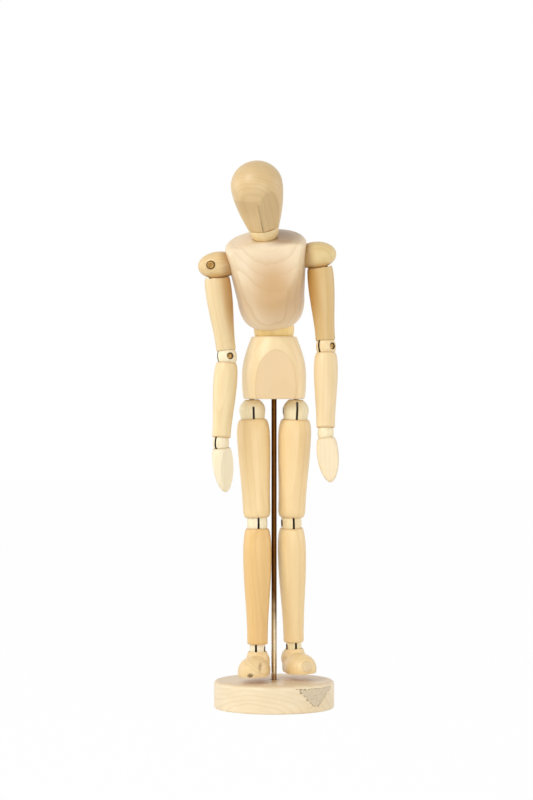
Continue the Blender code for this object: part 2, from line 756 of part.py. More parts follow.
def build_upper_arm(side_name, side, shoulder_frame, pose):
    frame = joint(side_name + "_shoulder_raise", shoulder_frame, Matrix.Identity(4), "Y", pose["raise"])
    end = -UPPER_ARM_LENGTH + ELBOW.half
    top = (UPPER_ARM_RADIUS - 2 * LAND, -UPPER_ARM_TOP)
    belly = (UPPER_ARM_RADIUS, -UPPER_ARM_LENGTH * 0.27)
    lower = (max(UPPER_ARM_END_RADIUS, ELBOW.rim), end + LAND * 4)
    bore_end = spigot_bore(UPPER_ARM_LENGTH, ELBOW)
    outline = (
        [(0.0, -UPPER_ARM_TOP)]
        + limb_side(top, belly, lower, (ELBOW.rim, end))
        + cup_up(ELBOW.cup, -UPPER_ARM_LENGTH, end, SPIGOT_RADIUS + CLEARANCE, bore_end)
    )
    axis = shift(-side * ARM_OFFSET)
    arm = turned(side_name + "_upper_arm", outline, frame, LIME_WOOD, axis)
    round_saddle = SHOULDER_TIP + CLEARANCE
    subtract(arm, saddle_cutter(side_name + "_arm_saddle", round_saddle, round_saddle, 0.0, frame))
    half, height = SHOULDER_LENGTH * 0.62, SHOULDER_RADIUS + CLEARANCE
    middle = side * (SHOULDER_TIP - half)
    oval = saddle_cutter(side_name + "_arm_seat", height, half + CLEARANCE, middle, shoulder_frame)
    subtract(arm, oval)
    sideways = turn("Z", 90.0)
    length = SHOULDER_RADIUS + LINK_SEAT
    link_in_yz(side_name + "_shoulder_link", frame, length, sideways)
    subtract(arm, mortise_cutter(side_name + "_shoulder_mortise", frame, 0.0, -length, sideways))
    return frame


def build_forearm(side_name, side, arm_frame, pose):
    place = shift(-side * ARM_OFFSET, 0.0, -UPPER_ARM_LENGTH)
    barrel_frame = joint(side_name + "_elbow_turn", arm_frame, place, "Z", pose["elbow_turn"])
    make_barrel(side_name + "_elbow", ELBOW, barrel_frame, 1)
    frame = joint(side_name + "_elbow_bend", barrel_frame, Matrix.Identity(4), "X", pose["elbow_bend"])
    end = -FOREARM_LENGTH + WRIST.half
    top = (ELBOW.rim, -ELBOW.half)
    belly = (FOREARM_RADIUS, -FOREARM_LENGTH * 0.27)
    lower = (max(FOREARM_END_RADIUS, WRIST.rim), end + LAND * 3)
    bore_end = spigot_bore(FOREARM_LENGTH, WRIST)
    outline = (
        plain_cup(ELBOW.cup, -ELBOW.half)
        + limb_side(top, belly, lower, (max(FOREARM_END_RADIUS - 2 * LAND, WRIST.rim), end))
        + cup_up(WRIST.cup, -FOREARM_LENGTH, end, SPIGOT_RADIUS + CLEARANCE, bore_end)
    )
    forearm = turned(side_name + "_forearm", outline, frame, LIME_WOOD)
    hang_link(side_name + "_elbow_link", forearm, frame, ELBOW.cup)
    return frame


def hand_outline():
    """A leaf from the rim under the wrist to its rounded tip."""
    top = (WRIST.rim, -WRIST.half)
    belly = (HAND_RADIUS, -HAND_LENGTH * 0.42)
    leaf = []
    steps = 6
    for i in range(1, steps):
        angle = math.pi / 2 * i / steps
        radius = HAND_RADIUS * math.cos(angle) ** HAND_TIP_POINT
        leaf.append((radius, belly[1] - (HAND_LENGTH + belly[1]) * math.sin(angle)))
    sides = [top] + rounded(top, belly, True) + leaf + [(0.0, -HAND_LENGTH)]
    return plain_cup(WRIST.cup, -WRIST.half) + sides


def build_hand(side_name, forearm_frame, pose):
    turn_place = shift(z=-FOREARM_LENGTH)
    barrel_frame = joint(side_name + "_wrist_turn", forearm_frame, turn_place, "Z", pose["wrist_turn"])
    make_barrel(side_name + "_wrist", WRIST, barrel_frame, -1, PIN_HEAD_RADIUS + PIN_FIT)
    frame = joint(side_name + "_wrist_bend", barrel_frame, Matrix.Identity(4), "X", pose["wrist_bend"])
    hand = turned(side_name + "_hand", hand_outline(), frame, LIME_WOOD)
    slope = (HAND_ROOT_THICKNESS - HAND_TIP_THICKNESS) / 2 / (HAND_LENGTH - WRIST.half)
    lean = math.degrees(math.atan(slope))
    size = HAND_LENGTH
    for face in (-1, 1):
        place = shift(face * HAND_ROOT_THICKNESS / 2, 0.0, -WRIST.half) @ turn("Y", face * lean)
        inner, outer = sorted((0.0, face * size))
        low, high = (inner, -size, -2 * size), (outer, size, size)
        subtract(hand, box_cutter(f"{side_name}_hand_flat{face}", low, high, frame, place))
    hang_link(side_name + "_wrist_link", hand, frame, WRIST.cup)


def build_arm(side_name, chest_frame):
    side, pose = SIDES[side_name], ARM_POSE[side_name]
    shoulder_frame = build_shoulder(side_name, side, chest_frame, pose)
    arm_frame = build_upper_arm(side_name, side, shoulder_frame, pose)
    forearm_frame = build_forearm(side_name, side, arm_frame, pose)
    build_hand(side_name, forearm_frame, pose)


# Legs

HIP_BALL = math.hypot(HIP_EDGE_RADIUS, HIP_DROP)
HIP_CUP = HIP_BALL + CLEARANCE
HIP_RIM = math.sqrt(HIP_CUP ** 2 - HIP_DROP ** 2) + LAND


def hip_outline():
    """The spigot, the flat top, the round of the ball, its straight lower side and its hidden lower cap."""
    top = HIP_FLAT + HIP_SPIGOT_LENGTH
    start = math.asin(HIP_FLAT / HIP_RADIUS)
    return (
        [(0.0, top), (SPIGOT_RADIUS, top), (SPIGOT_RADIUS, HIP_FLAT)]
        + arc(HIP_RADIUS, 0.0, start, 0.0, 3)
        + arc(HIP_BALL, 0.0, -math.asin(HIP_DROP / HIP_BALL), -math.pi / 2)
    )


def build_hip(side_name, side, pelvis_frame, pelvis, pose):
    place = shift(side * HIP_REACH, 0.0, -HIP_FLAT - CLEARANCE) @ turn("Y", pose["lean"])
    frame = joint(side_name + "_hip_turn", pelvis_frame, place, "Z", pose["turn"])
    hip = turned(side_name + "_hip", hip_outline(), frame, LIME_WOOD, segments=BALL_SEGMENTS)
    slit = slit_cutter(side_name + "_hip_slit", frame, -2 * HIP_BALL, HIP_SLIT_TOP[side_name], 2 * HIP_BALL)
    subtract(hip, slit)
    subtract(hip, pin_along_x(side_name + "_hip_pin", frame, HIP_RADIUS, -side))
    spigot_end = HIP_FLAT + HIP_SPIGOT_LENGTH + CLEARANCE
    spring_end = spigot_end + HIP_SPRING_LENGTH
    narrow, wide = SPIGOT_RADIUS + CLEARANCE, SPRING_BORE
    bore = [
        (0.0, spring_end + CLEARANCE), (wide, spring_end + CLEARANCE), (wide, spigot_end - 2 * CLEARANCE),
        (narrow, spigot_end - 2 * CLEARANCE), (narrow, 0.0), (0.0, 0.0),
    ]
    subtract(pelvis, turned_cutter(side_name + "_hip_bore", bore, frame, segments=BALL_SEGMENTS))
    straight_spring(side_name + "_hip_spring", spigot_end, spring_end, frame, Matrix.Identity(4))
    return frame


def build_thigh(side_name, hip_frame, pose):
    frame = joint(side_name + "_hip_swing", hip_frame, Matrix.Identity(4), "X", pose["swing"])
    end = -THIGH_LENGTH + KNEE.half
    top = (HIP_RIM, -HIP_DROP)
    belly = (THIGH_RADIUS, -THIGH_LENGTH * 0.21)
    lower = (THIGH_END_RADIUS, -THIGH_LENGTH * 0.88)
    outline = (
        plain_cup(HIP_CUP, -HIP_DROP)
        + limb_side(top, belly, lower, (KNEE.rim, end))
        + arc(KNEE.cup, -THIGH_LENGTH, math.asin(KNEE.half / KNEE.cup), math.pi / 2)
    )
    thigh = turned(side_name + "_thigh", outline, frame, LIME_WOOD)
    hang_link(side_name + "_hip_link", thigh, frame, HIP_CUP)
    return frame, thigh


def build_shin(side_name, side, thigh_frame, thigh, pose):
    place = shift(z=-THIGH_LENGTH) @ turn("Y", pose["knee_lean"]) @ turn("Z", pose["knee_turn"])
    barrel_frame = make_frame(side_name + "_knee_barrel", thigh_frame, place)
    make_barrel(side_name + "_knee", KNEE, barrel_frame, -side)
    bore_radius, bore_end = SPIGOT_RADIUS + CLEARANCE, spigot_bore(0.0, KNEE)
    bore = [(0.0, bore_end), (bore_radius, bore_end), (bore_radius, 0.0), (0.0, 0.0)]
    subtract(thigh, turned_cutter(side_name + "_knee_bore", bore, barrel_frame))
    frame = joint(side_name + "_knee_bend", barrel_frame, Matrix.Identity(4), "X", pose["knee_bend"])
    end = -SHIN_LENGTH + ANKLE.half
    top = (KNEE.rim, -KNEE.half)
    belly = (SHIN_RADIUS, -SHIN_LENGTH * 0.24)
    lower = (SHIN_END_RADIUS, end + LAND * 3)
    outline = (
        plain_cup(KNEE.cup, -KNEE.half)
        + limb_side(top, belly, lower, (SHIN_END_RADIUS - 2 * LAND, end))
        + cup_up(ANKLE.cup, -SHIN_LENGTH, end, SPIGOT_RADIUS + CLEARANCE, spigot_bore(SHIN_LENGTH, ANKLE))
    )
    shin = turned(side_name + "_shin", outline, frame, LIME_WOOD)
    hang_link(side_name + "_knee_link", shin, frame, KNEE.cup)
    return frame


def foot_outline(heel_middle):
    """Half the foot's plan from the tip of the toe to its slim waist, and on into the heel."""
    toe_middle = FOOT_TOE - FOOT_TIP_LENGTH
    steps = 5
    toe = []
    for i in range(steps + 1):
        angle = math.pi / 2 * i / steps
        toe.append((FOOT_RADIUS * math.sin(angle), toe_middle + FOOT_TIP_LENGTH * math.cos(angle)))
    waist = eased((FOOT_RADIUS, toe_middle), (FOOT_WAIST_RADIUS, 0.0))
    return toe + waist + [(HEEL_RADIUS / 2, heel_middle / 2), (0.0, heel_middle)]


def build_foot(side_name, side, shin_frame, pose):
    turn_place = shift(z=-SHIN_LENGTH)
    barrel_frame = joint(side_name + "_ankle_turn", shin_frame, turn_place, "Z", pose["ankle_turn"])
    make_barrel(side_name + "_ankle", ANKLE, barrel_frame, -side, PIN_HEAD_RADIUS + PIN_FIT)
    frame = joint(side_name + "_ankle_bend", barrel_frame, Matrix.Identity(4), "X", pose["ankle_bend"])
    heel_middle = HEEL_RADIUS - FOOT_HEEL
    place = shift(z=-FOOT_AXIS_DROP) @ turn("X", 90.0)
    foot = turned(side_name + "_foot", foot_outline(heel_middle), frame, LIME_WOOD, place)
    stretch = Matrix.Diagonal((1.0, 1.0, HEEL_HEIGHT / 2 / HEEL_RADIUS, 1.0))
    heel_place = shift(0.0, -heel_middle, HEEL_HEIGHT / 2 - FOOT_SOLE_DROP - LAND) @ stretch
    heel = arc(HEEL_RADIUS, 0.0, math.pi / 2, -math.pi / 2, 7)
    combine(foot, turned_cutter(side_name + "_heel", heel, frame, heel_place), "UNION")
    ball = arc(ANKLE.cup, 0.0, math.pi / 2, -math.pi / 2, 8)
    subtract(foot, turned_cutter(side_name + "_foot_cup", ball, frame))
    size = 2 * FOOT_TOE
    low, high = (-size, -size, -size), (size, size, -FOOT_SOLE_DROP)
    subtract(foot, box_cutter(side_name + "_sole", low, high, frame))
    hang_link(side_name + "_ankle_link", foot, frame, ANKLE.cup - LINK_SEAT / 2)


def build_leg(side_name, pelvis_frame, pelvis):
    side, pose = SIDES[side_name], LEG_POSE[side_name]
    hip_frame = build_hip(side_name, side, pelvis_frame, pelvis, pose)
    thigh_frame, thigh = build_thigh(side_name, hip_frame, pose)
    shin_frame = build_shin(side_name, side, thigh_frame, thigh, pose)
    build_foot(side_name, side, shin_frame, pose)


def print_joints():
    """Each joint's centre and axis in the figure's own space."""
    bpy.context.view_layer.update()
    for name, (frame, axis) in JOINTS.items():
        place = frame.matrix_world
        centre = [round(value, 6) for value in place.translation]
        direction = [round(value, 6) for value in (place.to_3x3() @ axis).normalized()]
        print("joint", name, centre, direction)


def main():
    root = build_stand()
    pelvis_frame, pelvis = build_pelvis(root)
    waist_frame = build_waist(pelvis_frame)
    chest_frame, neck_height = build_chest(waist_frame)
    build_neck_and_head(chest_frame, neck_height)
    for side_name in SIDES:
        build_arm(side_name, chest_frame)
        build_leg(side_name, pelvis_frame, pelvis)
    print_joints()


main()
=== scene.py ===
"""The wooden drawing figure: smooth turned pieces, sanded flats, rivets and limewood grain.

Each piece is turned in its own frame, in millimetres, and set on the joint that carries it.
"""

import json
import math

import bpy
from mathutils import Matrix, Vector


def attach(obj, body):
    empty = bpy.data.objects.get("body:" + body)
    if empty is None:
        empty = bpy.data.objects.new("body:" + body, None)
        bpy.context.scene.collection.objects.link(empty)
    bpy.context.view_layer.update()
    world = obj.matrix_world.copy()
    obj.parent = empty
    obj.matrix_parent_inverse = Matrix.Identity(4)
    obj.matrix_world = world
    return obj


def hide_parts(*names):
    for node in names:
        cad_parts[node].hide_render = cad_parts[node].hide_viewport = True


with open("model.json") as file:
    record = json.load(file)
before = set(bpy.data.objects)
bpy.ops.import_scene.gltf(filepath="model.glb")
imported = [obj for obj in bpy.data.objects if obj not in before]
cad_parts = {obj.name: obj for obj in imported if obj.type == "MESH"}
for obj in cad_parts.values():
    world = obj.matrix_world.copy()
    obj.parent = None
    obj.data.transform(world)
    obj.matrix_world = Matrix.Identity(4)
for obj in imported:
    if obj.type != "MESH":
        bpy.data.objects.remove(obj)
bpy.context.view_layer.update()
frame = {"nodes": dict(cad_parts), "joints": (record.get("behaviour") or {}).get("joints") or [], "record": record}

MM = 0.001
SIDES = {"right": -1, "left": 1}
RIGHT, FRONT, BACK, UP = Vector((1, 0, 0)), Vector((0, -1, 0)), Vector((0, 1, 0)), Vector((0, 0, 1))
JOINTS = {row["name"]: row for row in frame["joints"]}
BODY_OF = {node: body for body, nodes in frame["record"]["behaviour"]["bodies"].items() for node in nodes}


# Sizes in millimetres. A pair is a radius and a height

# How near its axis an outline starts, a ball's play in its cup, a cup's rim and how far a cutter reaches
AXIS, FIT, LAND, BEYOND = 0.06, 0.3, 0.2, 20.0
# Half of a slit, half of a link's slot, how deep a link is set and how far a slit goes above its pin
SLIT, LINK_HALF, LINK_SEAT, SLIT_ROOF = 0.42, 2.2, 7.0, 2.5
SPIGOT, SPIGOT_LENGTH, SPRING_BORE = 1.5, 4.0, 2.8
SPIGOT_BORE = SPIGOT + FIT
# A rivet's shank and its bore, how deep the head's seat is and the head's radius
SHANK, SHANK_BORE, HEAD_DEPTH, RIVET_HEAD = 0.8, 1.0, 1.6, 1.5

BASE_RADIUS, BASE_HEIGHT, BASE_RIM, BASE_FOOT, BASE_HOLE = 33.5, 15.5, 2.5, 0.9, 1.7
ROD_RADIUS, ROD_LOW, ROD_HIGH, ROD_ROUND = 1.46, 4.0, 185.3, 0.4

WAIST_BALL, NECK_BALL, BALL_BORE = 11.3, 8.1, 4.8
WAIST_CUP, NECK_CUP = WAIST_BALL + FIT, NECK_BALL + FIT
# From a ball's centre to the rim of a cup, to the neck's flat top and to the end of a spring's bore
WAIST_GAP, NECK_GAP, NECK_TOP = 3.9, 4.8, 1.2
WAIST_SPRING, NECK_SPRING = 19.3, 12.8
WAIST_RIM = math.sqrt(WAIST_CUP ** 2 - WAIST_GAP ** 2)
NECK_RIM = math.sqrt(NECK_CUP ** 2 - NECK_GAP ** 2)

PELVIS_HEIGHT, PELVIS_FOOT, PELVIS_BELLY, PELVIS_TOP = 34.8, 16.9, (17.9, 13.0), (12.6, 34.7)
ROD_BORE, ROD_BORE_END = 1.8, 14.3
CHEST_TOP, CHEST_WIDEST, CHEST_NARROW, CHEST_CROWN = (17.5, 52.75), (22.5, 49.0), (18.6, 18.9), 0.7
NECK_HEIGHT, SHOULDER_HEIGHT, SHOULDER_REACH = 58.8, 41.0, 31.1
HEAD_RIM, HEAD_WIDEST, HEAD_CROWN = (8.6, 1.3), (14.2, 25.9), 13.5
CHIN, BROW = Vector((0.0, -8.3, HEAD_RIM[1])), Vector((0.0, -14.6, 20.1))
FACE_TURN = 26.0

EGG_LENGTH, EGG_TIP, EGG_RADIUS, EGG_SPRING = 18.4, 7.2, 7.5, 5.5
EGG_HALF, EGG_FACE = EGG_LENGTH * 0.62, EGG_TIP - EGG_LENGTH
SHOULDER_HOLE, SHOULDER_RIVET = 2.4, 1.9
UPPER_ARM, UPPER_ARM_BELLY, UPPER_ARM_END, ARM_INWARD = 50.8, 7.3, 5.4, 2.4
FOREARM, FOREARM_BELLY, FOREARM_END = 47.7, 6.6, 5.1
HAND, HAND_BELLY, HAND_THICK, HAND_TIP = 27.4, 6.0, 9.0, 3.0

HIP_RADIUS, HIP_FLAT, HIP_DROP, HIP_EDGE = 7.4, 6.4, 4.6, 6.6
HIP_SPIGOT_TOP, HIP_SPRING_TOP, HIP_HOLE = 13.4, 25.0, 2.0
HIP_SLIT_TOP = {"right": 2.5, "left": 5.0}
HIP_BALL = math.hypot(HIP_EDGE, HIP_DROP)
HIP_CUP = HIP_BALL + FIT
HIP_RIM = math.sqrt(HIP_CUP ** 2 - HIP_DROP ** 2) + LAND
THIGH, THIGH_BELLY, THIGH_END = 62.3, 9.2, 7.6
SHIN, SHIN_BELLY, SHIN_END = 70.0, 7.9, 5.7
TOE_TIP, TOE_LENGTH, TOE_RADIUS, INSTEP = 23.5, 10.8, 8.4, 7.4
HEEL_END, HEEL_RADIUS, HEEL_HALF, HEEL_BOTTOM = 13.4, 5.3, 6.3, 13.8
FOOT_MIDDLE, SOLE, FOOT_SEAT, CARVING_GRID = 11.3, 13.6, 3.5, 0.36
# How far down a limb it is widest, as a share of its length, and where the thigh ends its taper
ARM_WIDEST, HAND_WIDEST, THIGH_WIDEST, SHIN_WIDEST, THIGH_TAPER = 0.27, 0.42, 0.21, 0.24, 0.88

# The sharpest edge that is still shaded smooth, and how pieces are turned or leaned at rest, in degrees
SMOOTH_EDGE = 38.0
HEAD_TURN = -4.0
HAND_LEAN = {"right": 14.0, "left": 6.0}
KNEE_LEAN = {"right": -2.0, "left": -2.5}
FOOT_LEAN = {"right": 0.0, "left": -5.0}


# Where each piece stands

def pivot(joint):
    return Vector(JOINTS[joint]["pos_m"])


def axis(joint, towards):
    way = Vector(JOINTS[joint]["axis"]).normalized()
    return way if way.dot(towards) > 0 else -way


def stand_at(point, across, up):
    """A piece's own frame: Z along up, X as near across as Z allows."""
    z = up.normalized()
    x = (across - z * across.dot(z)).normalized()
    place = Matrix((x, z.cross(x), z)).transposed().to_4x4()
    place.translation = point
    return place


def leaned(way, hinge, degrees):
    return Matrix.Rotation(math.radians(degrees), 3, hinge) @ way


def trunk_places():
    pelvis = stand_at(pivot("figure_turn"), pivot("left_hip_turn") - pivot("right_hip_turn"), UP)
    bend = axis("waist_bend", RIGHT)
    rise = bend.cross(axis("neck_tilt", BACK))
    nod, head_up = axis("head_nod", RIGHT), axis("head_turn", UP)
    return {
        "pelvis": pelvis,
        "waist": stand_at(pivot("waist_bend"), bend, rise + UP),
        "chest": stand_at(pivot("waist_bend"), bend, rise),
        "neck": stand_at(pivot("head_nod"), nod, head_up),
        "head": stand_at(pivot("head_turn"), leaned(nod, head_up, HEAD_TURN), head_up),
    }


def limb_places(side_name):
    """Both limbs of one side. Hands, knees and feet are leaned as they are posed at rest."""
    def at(joint):
        return pivot(f"{side_name}_{joint}")

    def way(joint, towards):
        return axis(f"{side_name}_{joint}", towards)

    swing, lift = way("shoulder_swing", RIGHT), way("shoulder_raise", BACK)
    arm_up, fore_up = way("elbow_turn", UP), way("wrist_turn", UP)
    elbow, wrist = way("elbow_bend", RIGHT), way("wrist_bend", FRONT)
    hip, knee, ankle = way("hip_swing", RIGHT), way("knee_bend", RIGHT), way("ankle_bend", RIGHT)
    shin_up = way("ankle_turn", UP)
    return {
        "shoulder": stand_at(at("shoulder_swing"), swing, swing.cross(lift)),
        "upper_arm": stand_at(at("shoulder_raise"), lift.cross(arm_up), arm_up),
        "elbow": stand_at(at("elbow_turn"), elbow, arm_up),
        "forearm": stand_at(at("elbow_bend"), elbow, fore_up),
        "wrist": stand_at(at("wrist_turn"), wrist, fore_up),
        "hand": stand_at(at("wrist_bend"), wrist, leaned(fore_up, wrist, HAND_LEAN[side_name])),
        "hip": stand_at(at("hip_turn"), hip, way("hip_turn", UP)),
        "thigh": stand_at(at("hip_swing"), hip, at("hip_swing") - at("knee_bend")),
        "knee": stand_at(at("knee_bend"), knee, leaned(shin_up, knee, KNEE_LEAN[side_name])),
        "shin": stand_at(at("knee_bend"), knee, shin_up),
        "ankle": stand_at(at("ankle_turn"), ankle, shin_up),
        "foot": stand_at(at("ankle_bend"), ankle, leaned(shin_up, ankle, FOOT_LEAN[side_name])),
    }


PLACES = {"base_disc": Matrix.Identity(4), "support_rod": Matrix.Identity(4), **trunk_places()}
for side_name in SIDES:
    PLACES.update({f"{side_name}_{name}": place for name, place in limb_places(side_name).items()})


# Outlines for the lathe: (radius, height) in millimetres

def arc(radius, centre, start, end, steps=14):
    """Part of a circle round (0, centre), between two angles above the level, in degrees."""
    turns = [math.radians(start + (end - start) * i / steps) for i in range(steps + 1)]
    return [(max(AXIS, radius * math.cos(a)), centre + radius * math.sin(a)) for a in turns]


def even(share):
    return share


def quick(share):
    """Starts fast and ends slowly."""
    return math.sin(math.pi / 2 * share)


def slow(share):
    """Starts slowly and ends fast."""
    return 1 - math.cos(math.pi / 2 * share)


def curve(start, end, steps, across, along):
    """The points after the start. Across and along say how much of each way is gone at a share of it."""
    points = []
    for i in range(1, steps + 1):
        radius = start[0] + (end[0] - start[0]) * across(i / steps)
        points.append((radius, start[1] + (end[1] - start[1]) * along(i / steps)))
    return points


def straight(start, end, steps):
    return curve(start, end, steps, even, even)


def rounded(start, end, level_first, steps=12):
    """A quarter ellipse that leaves the start level, or reaches the end level."""
    return curve(start, end, steps, quick, slow) if level_first else curve(start, end, steps, slow, quick)


def eased(start, end, steps=18):
    """A slim S between two upright tangents."""
    return curve(start, end, steps, lambda share: quick(share) ** 2, even)


def tilt_of(height, radius):
    return math.degrees(math.asin(height / radius))


def steepness_of(bore, radius):
    """The angle above the level at which a bore opens into a ball or a cup."""
    return math.degrees(math.acos(bore / radius))


class Barrel:
    """The sizes of a slit barrel and of the cups above and below it."""

    def __init__(self, radius, edge, shown, hole):
        self.radius, self.edge, self.half, self.hole = radius, edge, shown / 2, hole
        self.ball = math.hypot(edge, self.half)
        self.cup = self.ball + FIT
        self.rim = math.sqrt(self.cup ** 2 - self.half ** 2) + LAND

    def outline(self):
        cap = tilt_of(self.half, self.ball)
        spigot = steepness_of(SPIGOT, self.ball)
        band = []
        for i in range(1, 12):
            share = 1 - i / 6
            band.append((self.edge + (self.radius - self.edge) * (1 - share ** 2), self.half * share))
        top = self.ball + SPIGOT_LENGTH
        return (
            [(AXIS, top), (SPIGOT - 0.3, top), (SPIGOT, top - 0.3)]
            + arc(self.ball, 0.0, spigot, cap, 6) + band + arc(self.ball, 0.0, -cap, -90.0, 8)
        )

    def cup_above(self, length, end):
        """The cup in the lower end of the limb above, with the bore for the spigot."""
        deep = steepness_of(SPIGOT_BORE, self.cup)
        bore = -length + self.ball + SPIGOT_LENGTH + FIT
        hollow = arc(self.cup, -length, tilt_of(end + length, self.cup), deep, 8)
        return hollow + [(SPIGOT_BORE, bore), (AXIS, bore)]

    def cup_below(self):
        return arc(self.cup, 0.0, -90.0, tilt_of(-self.half, self.cup), 8)


ELBOW = Barrel(radius=5.5, edge=4.7, shown=7.2, hole=1.8)
WRIST = Barrel(radius=4.5, edge=3.9, shown=5.8, hole=1.7)
KNEE = Barrel(radius=5.75, edge=5.45, shown=6.0, hole=2.0)
ANKLE = Barrel(radius=4.4, edge=4.1, shown=5.6, hole=1.7)
BARRELS = {"elbow": ELBOW, "wrist": WRIST, "knee": KNEE, "ankle": ANKLE}


def limb_side(top, belly, lower, foot):
    """A limb from its top rim over its belly to its rounded lower rim."""
    return [top] + rounded(top, belly, True) + eased(belly, lower) + rounded(lower, foot, False, 6)


# Modelling

def select_only(piece):
    bpy.ops.object.select_all(action="DESELECT")
    piece.select_set(True)
    bpy.context.view_layer.objects.active = piece


def turned(name, outline, segments=72):
    """A closed turned piece: a small disc drawn out ring by ring, up or down its own Z."""
    radius, height = outline[0]
    bpy.ops.mesh.primitive_circle_add(
        vertices=segments, radius=radius * MM, fill_type="NGON", location=(0, 0, height * MM)
    )
    piece = bpy.context.object
    piece.name = name
    bpy.ops.object.mode_set(mode="EDIT")
    for next_radius, next_height in outline[1:]:
        rise = (next_height - height) * MM
        bpy.ops.mesh.extrude_region_move(TRANSFORM_OT_translate={"value": (0, 0, rise)})
        grow = next_radius / radius
        bpy.ops.transform.resize(value=(grow, grow, 1), center_override=(0, 0, next_height * MM))
        radius, height = next_radius, next_height
    bpy.ops.mesh.select_all(action="SELECT")
    bpy.ops.mesh.normals_make_consistent(inside=False)
    bpy.ops.object.mode_set(mode="OBJECT")
    bpy.ops.object.transform_apply()
    return piece


def moved(piece, place):
    select_only(piece)
    piece.matrix_world = place
    bpy.ops.object.transform_apply()
    return piece


def block(low, high):
    """A sawn block between two corners, in millimetres."""
    bpy.ops.mesh.primitive_cube_add(size=1.0)
    size = [(b - a) * MM for a, b in zip(low, high)]
    middle = Matrix.Translation([(a + b) / 2 * MM for a, b in zip(low, high)])
    return moved(bpy.context.object, middle @ Matrix.Diagonal((*size, 1.0)))


def combine(piece, tool, operation):
    select_only(piece)
    modifier = piece.modifiers.new(operation.lower(), "BOOLEAN")
    modifier.operation, modifier.solver, modifier.object = operation, "EXACT", tool
    bpy.ops.object.modifier_apply(modifier=modifier.name)
    bpy.data.objects.remove(tool)
    return piece


def cut(piece, tool):
    return combine(piece, tool, "DIFFERENCE")


def sand(piece, point, normal, soft):
    """Sands a flat: what stands out past the plane comes back to it, with an edge as soft as given."""
    normal = Vector(normal).normalized()
    point = Vector(point) * MM
    soft *= MM
    for vertex in piece.data.vertices:
        out = (vertex.co - point).dot(normal)
        if out > -6 * soft:
            vertex.co += normal * ((out - math.sqrt(out * out + soft * soft)) / 2 - out)


def about(way, degrees):
    return Matrix.Rotation(math.radians(degrees), 4, way)


def shift(x=0.0, y=0.0, z=0.0):
    return Matrix.Translation((x * MM, y * MM, z * MM))


def peg(radius, low, high, place, segments=40):
    """A round cutter along the place's own Z."""
    return moved(turned("peg", [(AXIS, low), (radius, low), (radius, high), (AXIS, high)], segments), place)


def drill_for_rivet(piece, reach, hole, place):
    """A stepped blind hole along the place's own Z, wide where the rivet's head lies."""
    seat = reach - HEAD_DEPTH
    end = -seat - 0.2
    outline = [
        (AXIS, reach * 2), (hole, reach * 2), (hole, seat),
        (SHANK_BORE, seat), (SHANK_BORE, end), (AXIS, end),
    ]
    return cut(piece, moved(turned("drill", outline, 40), place))


def rivet(reach, wide):
    """A tubular rivet along Z: its shank, a rolled head and the dimple that the punch left."""
    tail, seat = HEAD_DEPTH - reach, reach - HEAD_DEPTH + 0.2
    edge, crest, brim = seat + 0.22, seat + 0.6, wide * 0.67
    shank = [(AXIS, tail), (SHANK - 0.1, tail), (SHANK, tail + 0.1), (SHANK, seat)]
    head = [(wide - 0.1, seat), (wide, seat + 0.08), (wide, edge)]
    head += rounded((wide, edge), (wide * 0.75, crest - 0.02), False, 6) + [(brim, crest)]
    dimple = rounded((brim, crest), (wide * 0.41, seat + 0.3), True, 6)
    middle = [(wide * 0.2, seat + 0.24), (AXIS, seat + 0.32)]
    return turned("rivet", shank + head + dimple + middle, 40)


PATTERNS = {}


def pattern(make, *sizes):
    """A copy, with its own mesh, of a piece that is modelled only the first time it is asked for."""
    key = (make, *sizes)
    if key not in PATTERNS:
        PATTERNS[key] = make(*sizes)
    twin = PATTERNS[key].copy()
    twin.data = twin.data.copy()
    bpy.context.scene.collection.objects.link(twin)
    return twin


def clear_patterns():
    for piece in PATTERNS.values():
        bpy.data.objects.remove(piece)


def finish(piece, node, material, place=None):
    """Sets a piece in its place, smooths it and hands it to the model."""
    moved(piece, place or PLACES[node])
    piece.name = node + "_smooth"
    piece.data.materials.clear()
    piece.data.materials.append(material)
    bpy.ops.object.shade_smooth_by_angle(angle=math.radians(SMOOTH_EDGE))
    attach(piece, BODY_OF[node])
    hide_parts(node)


# Shader maths

class Wire:
    """A value in a material. Sums of wires add the nodes that work them out."""

    def __init__(self, tree, socket):
        self.tree, self.socket = tree, socket

    def maths(self, operation, *values, clamped=False):
        node = self.tree.nodes.new("ShaderNodeMath")
        node.operation, node.use_clamp = operation, clamped
        for entry, value in zip(node.inputs, values):
            plug(self.tree, entry, value)
        return Wire(self.tree, node.outputs[0])

    def __add__(self, other):
        return self.maths("ADD", self, other)

    __radd__ = __add__

    def __sub__(self, other):
        return self.maths("SUBTRACT", self, other)

    def __mul__(self, other):
        return self.maths("MULTIPLY", self, other)

    __rmul__ = __mul__

    def __truediv__(self, other):
        return self.maths("DIVIDE", self, other)

    def __pow__(self, other):
        return self.maths("POWER", self, other)

    def __rsub__(self, other):
        return self.maths("SUBTRACT", other, self)

    def __rtruediv__(self, other):
        return self.maths("DIVIDE", other, self)

    def __neg__(self):
        return self.maths("MULTIPLY", self, -1.0)

    def __abs__(self):
        return self.maths("ABSOLUTE", self)

    def __mod__(self, other):
        return self.maths("FLOORED_MODULO", self, other)

    def least(self, other):
        return self.maths("MINIMUM", self, other)

    def most(self, other):
        return self.maths("MAXIMUM", self, other)

    def clamped(self):
        return self.maths("ADD", self, 0.0, clamped=True)

    def between(self, low, high):
        """0 below low, 1 above high, and a soft rise from one to the other. high may be the lesser."""
        share = ((self - low) / (high - low)).clamped()
        return share * share * (3.0 - 2.0 * share)


